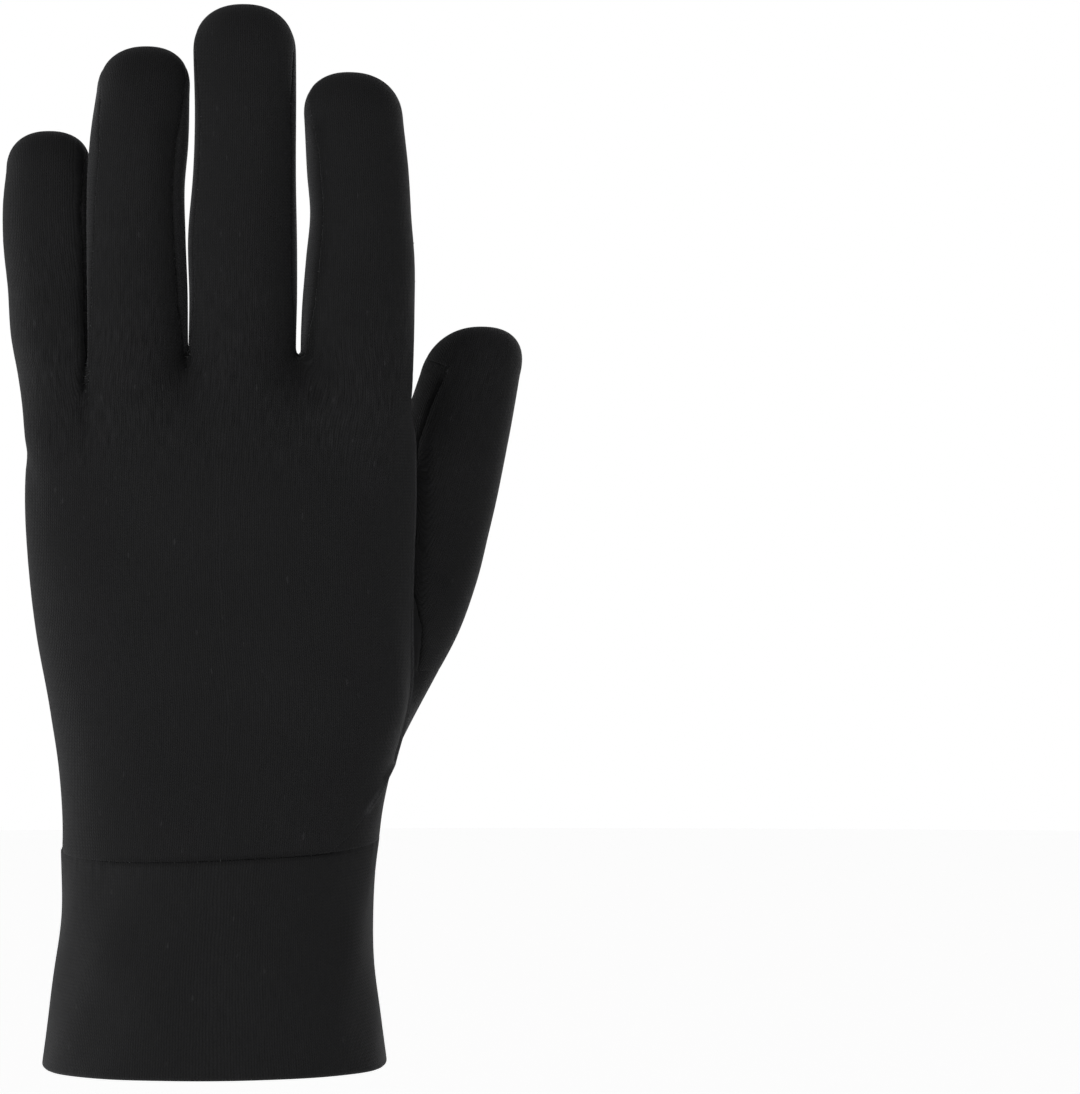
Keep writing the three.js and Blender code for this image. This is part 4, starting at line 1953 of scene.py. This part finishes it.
@dataclass(frozen=True)
class SewnHand:
    """The hand of the glove, from the wrist seam up: its panels and side strips.

    Attributes:
        cutting: Where the cloth is cut.
        wall: Its thickness.
        roll_lines: The distances from a seam where the mesh gets a line of edges.
    """

    cutting: Cutting = Cutting()
    wall: float = 1.3
    roll_lines: tuple[float, ...] = (1.15, 0.5)

    def sew(self) -> Sewn:
        """Cuts the skin along its seams and rolls the cloth into them.

        Returns:
            The sewn skin.
        """
        cutting = self.cutting
        look = SeamLook(cutting)
        mesh = Skin(cutting).build()
        for zone in (cutting.above_wrist, cutting.on_thumb, cutting.on_strip, cutting.on_palm):
            mesh.cut(zone)
        mesh.keep(cutting.above_wrist(mesh.centres()) > 0)
        seams = np.concatenate(seam_edges(mesh, cutting.parts(mesh)))
        targets = seam_targets(mesh, seams)
        for distance in self.roll_lines:
            mesh.cut(lambda at, d=distance: seam_distance(at, targets) - d)
        label = cutting.parts(mesh)
        between, _ = seam_edges(mesh, label)
        away = seam_distance(mesh.points, targets)
        outward = cutting.form.outward(mesh.points)
        pucker = 1 + PUCKER_SHARE * np.sin(mesh.points @ PUCKER)
        shows = look.shows(mesh.points)
        welt = look.welted(mesh.points)
        deepest = look.depth(mesh.points) * pucker * shows
        deepest = deepest - (deepest + look.welt) * welt
        depth = deepest * rolled_in(away, look.roll)
        # A painted highlight on the welt's crest, taken off the streaks' painted shade and
        # light
        painted_crest_light = look.painted_crest_light * welt * smooth_step(*look.painted_crest_light_reach, away)
        shadow = painted_light_and_shade(mesh.points) - painted_crest_light
        mesh.points = mesh.points - depth[:, None] * outward
        away = away + SEAM_REACH * np.maximum(1 - shows, welt)
        return Sewn(mesh, label, outward, away, shadow, chains(between))

    def panel(
        self, part: Part, sewn: Sewn, material: bpy.types.Material
    ) -> bpy.types.Object:
        """Makes one piece of cloth as a closed wall.

        The inner face is the outer one moved in by the wall, and a rim joins the two
        round the piece's edge.

        Args:
            part: The piece.
            sewn: The whole sewn skin.
            material: Its finish.

        Returns:
            The piece.
        """
        facing = Facing.PALM if part is Part.PALM else Facing.BACK
        facing = Facing.SIDE if part in STRIPS else facing
        piece = TriMesh(sewn.mesh.points, sewn.mesh.triangles)
        used = piece.keep(sewn.label == PART_ORDER.index(part))
        count = len(used)
        inner = piece.points - self.wall * sewn.outward[used]
        _, of_triangle = piece.edges()
        alone = np.bincount(of_triangle.ravel())[of_triangle.ravel()] == 1
        a, b = piece.sides()[alone].T
        rims = (
            np.column_stack([b, a, a + count]),
            np.column_stack([b, a + count, b + count]),
        )
        faces = (piece.triangles, piece.triangles[:, ::-1] + count, *rims)
        laid = self.cutting.form.pattern(piece.points, facing)
        marks = {"shadow": sewn.shadow[used], "bunched": piece.bunching(laid)}
        laid = np.column_stack([laid, sewn.away[used]])
        made = put_piece(
            part.value,
            np.concatenate([piece.points, inner]),
            np.concatenate(faces),
            np.tile(laid, (2, 1)),
            material,
            {name: np.tile(mark, 2) for name, mark in marks.items()},
        )
        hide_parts(part.value)
        return made

    def build(self, hand: Knit, strip: Knit, thread: Thread) -> list[bpy.types.Object]:
        """Builds the panels, the side strips and the seams' stitches.

        Args:
            hand: The panels' finish.
            strip: The side strips' finish.
            thread: The stitches' finish.

        Returns:
            The pieces.
        """
        sewn = self.sew()
        hand_cloth = hand.material()
        strip_cloth = strip.material()
        made = []
        for part in PART_ORDER:
            side = part in STRIPS
            piece = self.panel(part, sewn, strip_cloth if side else hand_cloth)
            made.append(piece)
        lying = thread.material()
        look = SeamLook(self.cutting)
        at = sewn.mesh.points
        round_thumb = [look.above_thumb(at[line]) for line in sewn.lines]
        sewing = {"seam_stitches": SEAM_SEWING, "thumb_stitches": THUMB_SEWING}
        for name, stitches in sewing.items():
            thumb = stitches is THUMB_SEWING
            chosen = [line for line, on in zip(sewn.lines, round_thumb) if on == thumb]
            rows = [stitches.along(at[line], sewn.outward[line]) for line in chosen]
            rows = [[part[look.is_sewn(row[0])] for part in row] for row in rows]
            made.append(stitches.build(name, rows, lying))
        return made


@dataclass(frozen=True)
class Stitches:
    """Short stitches across a seam.

    Attributes:
        spacing: From one stitch to the next.
        length: Each one's length.
        radius: The thread's radius.
        sunk: How far a stitch's ends lie under its middle.
        lift: How far its middle lies over the bottom of the seam.
        uneven: How much more or less it may be lifted.
        first: How far the first stitch lies beyond half a space from the line's end.
        ahead: How far along the line a stitch's direction is taken.
    """

    spacing: float
    length: float
    radius: float
    sunk: float
    lift: float
    uneven: float
    first: float = 0.3
    ahead: float = 0.6

    def along(self, line: Array, outward: Array) -> tuple[Array, Array, Array]:
        """Spaces the stitches evenly along a seam's line.

        Args:
            line: The seam's points, in order.
            outward: The outward direction at each.

        Returns:
            Each stitch's place, its outward direction and its direction across.
        """
        smooth = line.copy()
        for _ in range(3):
            smooth[1:-1] = (smooth[:-2] + 2 * smooth[1:-1] + smooth[2:]) / 4
        steps = np.linalg.norm(np.diff(smooth, axis=0), axis=1)
        length = np.concatenate([[0.0], np.cumsum(steps)])
        count = int((length[-1] - self.spacing) / self.spacing)
        if count < 1:
            empty = np.zeros((0, 3))
            return empty, empty, empty
        at = self.spacing * (0.5 + np.arange(count)) + self.first
        place, up, ahead = (
            np.column_stack([np.interp(at + lead, length, column) for column in part.T])
            for part, lead in ((smooth, 0.0), (outward, 0.0), (smooth, self.ahead))
        )
        up /= np.linalg.norm(up, axis=1, keepdims=True)
        across = np.cross(up, ahead - place)
        across /= np.linalg.norm(across, axis=1, keepdims=True) + 1e-9
        return place, up, across

    def build(
        self,
        name: str,
        rows: list[tuple[Array, Array, Array]],
        material: bpy.types.Material,
    ) -> bpy.types.Object:
        """Makes all the stitches as one piece.

        A stitch's centre line is a low arch: across by half its length times s, and out
        by the lift less the sunk times s squared, with s from -1 to 1. Its section is a
        circle whose radius shrinks as the root of 1 less the sixth power of s, and two
        faces close each end. The lift goes up and down with the stitch's number.

        Args:
            name: The piece's name.
            rows: What along gave for each seam.
            material: The thread's finish.

        Returns:
            The piece.
        """
        place, up, across = (np.concatenate(part) for part in zip(*rows))
        ahead = np.cross(across, up)
        s = np.linspace(-1, 1, STITCH_RINGS)
        thick = np.sqrt(np.maximum(1 - s**6, 0.02)) * self.radius
        turn = np.linspace(0, WHOLE_TURN, STITCH_SIDES, endpoint=False)
        middle = place[:, None] + across[:, None] * (s * self.length / 2)[:, None]
        number = np.arange(len(place))
        lift = self.lift + self.uneven * np.sin(number * 2.3) * np.sin(number * 0.7 + 1)
        middle = middle + up[:, None] * (lift[:, None] - self.sunk * s**2)[..., None]
        ring = np.einsum("nc,t->ntc", up, np.cos(turn))
        ring = ring + np.einsum("nc,t->ntc", ahead, np.sin(turn))
        points = middle[:, :, None] + thick[:, None, None] * ring[:, None]
        corner = np.arange(points[..., 0].size).reshape(points.shape[:3])
        first, last = corner[:, 0], corner[:, -1]
        ends = (
            first[:, [3, 2, 1, 0]],
            first[:, [5, 4, 3, 0]],
            last[:, [0, 1, 2, 3]],
            last[:, [0, 3, 4, 5]],
        )
        quads = np.concatenate([ring_quads(corner).reshape(-1, 4), *ends])
        around = np.broadcast_to(turn / WHOLE_TURN, points.shape[:3])
        length = np.broadcast_to((s * self.length / 2)[:, None], points.shape[:3])
        cloth = np.stack([around, length, around * 0], axis=-1).reshape(-1, 3)
        piece = put_piece(name, points.reshape(-1, 3), quads, cloth, material)
        return piece


SEAM_SEWING = Stitches(2.2, 1.2, radius=0.09, sunk=0.14, lift=-0.03, uneven=0.09)
THUMB_SEWING = Stitches(2.3, 1.4, radius=0.12, sunk=0.2, lift=0.2, uneven=0.2)
WRIST_SEWING = Stitches(2.7, 1.3, radius=0.09, sunk=0.14, lift=0.02, uneven=0.12)


@dataclass
class Cuff:
    """The cuff: a band of knit folded double, with its fold at the open edge.

    Attributes:
        tube: Its outer form.
        wall: Its thickness, two layers.
        columns: How many columns of faces go round it.
        outside_rows: How many rows of points run down the outside.
        seam_rows: How many more of them crowd at the seam,
        seam_share: on this share of the height.
        fold_rows: How many lie in the fold.
        inside_rows: How many run up the inside.
        seam_girth: The half width, half depth and middle y for the seam plane's height.
        wrist: The wrist seam's plane, as the hand has it.
        roll: How far from the seam the cloth begins to roll into it.
        valley: How deep it rolls.
        sag: The height of its slow waves.
        gather: How far its small gathers at the seam stand out,
        gather_reach: and how soon they run out below it.
        around: Its girth in the cloth's own measure, a whole number of wales.
        sewn_from: Stitches show where the seam shows by more than this.
    """

    tube: Tube = Tube(CUFF_SECTIONS, 2.2, 900, 901)
    wall: float = 2.4
    columns: int = 460
    outside_rows: int = 61
    seam_rows: int = 12
    seam_share: float = 0.08
    fold_rows: int = 8
    inside_rows: int = 40
    seam_girth: tuple[float, float, float] = (38.0, 24.0, -1.0)
    wrist: tuple[float, float, float] = WRIST_SEAM
    roll: float = 1.9
    valley: float = 0.32
    sag: float = 0.2
    gather: float = 0.09
    gather_reach: float = 3.5
    around: float = 210.0
    sewn_from: float = 0.6

    def ring(self, turn: Array, z: Array, inset: Array) -> Array:
        """Points on the band's form at each angle and height, drawn in by inset.

        Args:
            turn: The angles.
            z: The heights.
            inset: How far each point is drawn in, in mm.

        Returns:
            The points.
        """
        x, half_width, middle, half_depth, _ = self.tube.level(z.ravel())
        power = 2 / self.tube.squareness
        across = signed_power(np.cos(turn), power)
        toward = signed_power(np.sin(turn), power)
        px = x.reshape(z.shape) + across * (half_width.reshape(z.shape) - inset)
        py = middle.reshape(z.shape) + toward * (half_depth.reshape(z.shape) - inset)
        return np.stack([px, py, z], axis=-1)

    def waves(self, angle: Array, z: Array, seam: Array) -> Array:
        """How far the band stands out in slow waves, and in gathers under the seam.

        The waves are the product of two sines and a fainter third one. The gathers are a
        fast sine round the band whose height falls off as exp(-d), with d the share of
        its reach below the seam.

        Args:
            angle: The angles.
            z: The heights.
            seam: How far each point is under the seam.

        Returns:
            How far it stands out there, in mm.
        """
        uneven = np.sin(angle * 9 + 1) * np.sin(angle * 4 + 2)
        gather = self.gather * np.exp(-seam / self.gather_reach)
        gather = gather * np.sin(angle * 61 + 3 * uneven) * uneven
        wave = np.sin(angle * 5 + z / 11) * np.sin(z / 9 + angle * 2 + 1)
        return gather + self.sag * (wave + 0.6 * np.sin(angle * 11 - z / 6))

    def build(self, finish: Knit) -> bpy.types.Object:
        """Builds the band as a profile carried round.

        The profile runs down the outside from the wrist seam, round the fold in half a
        circle and up the inside. At each angle its top is where the seam's plane is.

        Args:
            finish: The band's finish.

        Returns:
            The piece.
        """
        turn = np.linspace(0, WHOLE_TURN, self.columns, endpoint=False)
        power = 2 / self.tube.squareness
        half_width, half_depth, middle = self.seam_girth
        x = signed_power(np.cos(turn), power) * half_width
        y = signed_power(np.sin(turn), power) * half_depth + middle
        height, to_thumb, to_palm = self.wrist
        top = height + to_thumb * x + to_palm * y
        radius = self.wall / 2
        crowded = 1 - np.linspace(0, 1, self.seam_rows) ** 1.6 * self.seam_share
        spaced = np.linspace(1 - self.seam_share, 0, self.outside_rows + 1)[1:]
        outer = np.concatenate([crowded, spaced])
        inner = np.linspace(0, 1, self.inside_rows)
        half = np.linspace(0, math.pi, self.fold_rows + 2)[1:-1]
        z_out = radius + (top - radius) * outer[:, None]
        z_fold = np.tile((radius - radius * np.sin(half))[:, None], len(turn))
        z_in = radius + (top - radius) * inner[:, None]
        z = np.concatenate([z_out, z_fold, z_in])
        folded = np.tile((radius - radius * np.cos(half))[:, None], len(turn))
        inset = np.concatenate(
            [np.zeros_like(z_out), folded, np.full_like(z_in, self.wall)]
        )
        angle = np.tile(turn, (len(z), 1))
        seam = np.maximum(top - z, 0.0)
        shows = wrist_seam_shows(x)
        rolled = self.valley * shows * rolled_in(seam, self.roll)
        rolled[len(z_out) :] = 0
        points = self.ring(angle, z, inset + rolled - self.waves(angle, z, seam))
        corner = np.arange(z.size).reshape(z.shape)
        corner = np.concatenate([corner, corner[:1]])
        right = np.roll(corner, -1, axis=1)
        quads = np.stack([corner[:-1], corner[1:], right[1:], right[:-1]], axis=-1)
        down_length = np.concatenate([top - z_out, top + radius - z_fold, top + z_in])
        u = angle / WHOLE_TURN * self.around
        hidden = seam + SEAM_REACH * (1 - shows)
        cloth = np.stack([u, down_length, hidden], axis=-1).reshape(-1, 3)[quads]
        cloth[:, -1, :, 0] += np.where(cloth[:, -1, :, 0] == 0, self.around, 0.0)
        piece = put_piece(
            "cuff",
            points.reshape(-1, 3),
            quads.reshape(-1, 4),
            cloth.reshape(-1, 3),
            finish.material(),
        )
        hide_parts("cuff")
        return piece

    def seam_line(self) -> tuple[Array, Array]:
        """The wrist seam's line on the band, and its outward directions.

        Returns:
            The line's points and the directions.
        """
        turn = np.linspace(0, WHOLE_TURN, self.columns)
        height, to_thumb, to_palm = self.wrist
        z = np.full(len(turn), height)
        for _ in range(4):
            points = self.ring(turn, z, np.full(len(turn), self.valley * 0.9))
            z = height + to_thumb * points[:, 0] + to_palm * points[:, 1]
        ahead = np.gradient(points, axis=0)
        outward = np.cross(ahead, np.array([0, 0, 1.0]))
        return points, outward / np.linalg.norm(outward, axis=1, keepdims=True)

    def stitches(self, thread: Thread) -> bpy.types.Object:
        """Sews the band to the hand.

        Args:
            thread: The stitches' finish.

        Returns:
            The piece.
        """
        rows = WRIST_SEWING.along(*self.seam_line())
        shown = wrist_seam_shows(rows[0][:, 0]) > self.sewn_from
        rows = [[part[shown] for part in rows]]
        return WRIST_SEWING.build("wrist_stitches", rows, thread.material())


class SoftLight(NamedTuple):
    """A square soft light: its name, its place and size in metres, and its power."""

    name: str
    place: Place
    size: float
    power: float


LIGHTS = (
    SoftLight("key_light", (-0.7, -1.05, 0.35), 0.6, 16.0),
    SoftLight("left_edge_light", (-1.1, 0.42, -0.15), 0.6, 11.0),
    SoftLight("right_edge_light", (0.8, 1.2, 0.35), 0.9, 11.0),
)


@dataclass(frozen=True)
class Studio:
    """A plain white studio: a pale floor, soft light all round and the camera.

    Attributes:
        distance: From the camera to the middle of the glove, in metres.
        middle: The glove's middle across and up, in metres.
        scale: Metres in a pixel of the picture at the glove.
        across: The glove's middle from the picture's left edge, in pixels.
        width: The picture's width, in pixels.
        height: Its height.
        floor: The floor's height, in metres.
        floor_radius: Its radius, in metres.
        floor_grey: Its lightness.
        floor_glow: Its own light.
        glow: The light all round.
        wall_top: Up to this sine of the angle over the horizon the room is white.
        ceiling_fade: Over this much more it darkens.
        ceiling: How light it is overhead.
        sensor: The camera's film width, in mm.
    """

    distance: float = 0.990
    middle: tuple[float, float] = (0.0116, 0.1243)
    scale: float = 0.00024
    across: float = 262.5
    width: float = 1080
    height: float = 1094
    floor: float = -0.9
    floor_radius: float = 14.0
    floor_grey: float = 0.8
    floor_glow: float = 0.66
    glow: float = 1.0
    wall_top: float = 0.2
    ceiling_fade: float = 0.3
    ceiling: float = 0.3
    sensor: float = 36.0

    def camera(self) -> None:
        """Puts the camera straight behind the hand, turned so that it stands at left."""
        aside = (self.width / 2 - self.across) * self.scale
        turn = math.atan2(aside, self.distance)
        data = bpy.data.cameras.new("camera")
        data.sensor_width = self.sensor
        data.lens = self.sensor * self.distance / (self.height * self.scale)
        data.lens *= math.cos(turn) ** 1.5
        data.clip_start = 0.01
        data.clip_end = 60
        camera = bpy.data.objects.new("camera", data)
        bpy.context.scene.collection.objects.link(camera)
        camera.location = (self.middle[0], -self.distance, self.middle[1])
        camera.rotation_euler = (math.pi / 2, 0, -turn)
        bpy.context.scene.camera = camera

    def hang(self, lamp: SoftLight) -> None:
        """Hangs a soft light so that it faces the glove's middle.

        Args:
            lamp: The light.
        """
        data = bpy.data.lights.new(lamp.name, "AREA")
        data.size = lamp.size
        data.energy = lamp.power
        light = bpy.data.objects.new(lamp.name, data)
        bpy.context.scene.collection.objects.link(light)
        light.location = lamp.place
        target = np.array([self.middle[0], 0.0, self.middle[1]])
        away = np.array(lamp.place) - target
        light.rotation_euler = (
            math.atan2(math.hypot(away[0], away[1]), away[2]),
            0,
            math.atan2(away[0], -away[1]),
        )
        light.visible_camera = False

    def pale(self) -> bpy.types.Material:
        """The floor's finish: matt and pale, with a little light of its own.

        Returns:
            The material.
        """
        material, nodes = new_material("pale_floor")
        grey = (self.floor_grey,) * 3
        place = nodes.make("ShaderNodeTexCoord").outputs["Object"]
        grain = nodes.noise(place, 3, 2)
        nodes.surface(
            {
                "Base Color": (*grey, 1.0),
                "Roughness": 0.85 + grain * 0.1,
                "Specular IOR Level": 0.0,
                "Emission Color": (1.0, 1.0, 1.0, 1.0),
                "Emission Strength": self.floor_glow,
            }
        )
        return material

    def lay_floor(self) -> None:
        """Lays the floor, a round flat sheet."""
        turn = np.linspace(0, WHOLE_TURN, 96, endpoint=False)
        rim = np.column_stack([np.cos(turn), np.sin(turn), turn * 0]) * self.floor_radius
        rim[:, 2] = self.floor
        mesh = bpy.data.meshes.new("floor")
        mesh.from_pydata(rim.tolist(), [], [list(range(len(rim)))])
        mesh.materials.append(self.pale())
        floor = bpy.data.objects.new("floor", mesh)
        bpy.context.scene.collection.objects.link(floor)

    def fill_room(self) -> None:
        """Lights the room all round, white up to the wall's top and darker overhead."""
        world = bpy.data.worlds.new("white_room")
        world.use_nodes = True
        bpy.context.scene.world = world
        nodes = Nodes(world.node_tree)
        direction = nodes.make("ShaderNodeTexCoord").outputs["Generated"]
        _, _, up = nodes.split(direction)
        above = (up - self.wall_top) * (1 / self.ceiling_fade)
        room = nodes.between(above, (1.0, 1.0, 1.0), (self.ceiling,) * 3)
        inputs = {"Color": room, "Strength": self.glow}
        sky = nodes.make("ShaderNodeBackground", None, inputs)
        nodes.make("ShaderNodeOutputWorld", None, {"Surface": sky.outputs[0]})

    def build(self) -> None:
        """Builds the floor, the light and the camera."""
        bpy.context.scene.view_settings.view_transform = "Standard"
        self.lay_floor()
        self.fill_room()
        for lamp in LIGHTS:
            self.hang(lamp)
        self.camera()


def main() -> None:
    """Builds the studio and the glove's pieces in order, and notes the sizes."""
    logging.basicConfig(level=logging.INFO, format="%(name)s: %(message)s")
    Studio().build()
    hand_knit = Knit("jersey_knit", (0.0070, 0.0070, 0.0073))
    # The side strips' knit is lighter than the hand's: its lighter colour is painted light
    # from behind, glancing on the strips between the fingers
    strip_knit = Knit("side_strip_knit", (0.0125, 0.0125, 0.0129), wale=0.9, sheen=0.09)
    cuff_knit = Knit("cuff_knit", (0.0072, 0.0072, 0.0075), loft=0.11)
    thread = Thread()
    SewnHand().build(hand_knit, strip_knit, thread)
    cuff = Cuff()
    cuff.build(cuff_knit)
    cuff.stitches(thread)


if __name__ == "__main__":
    main()
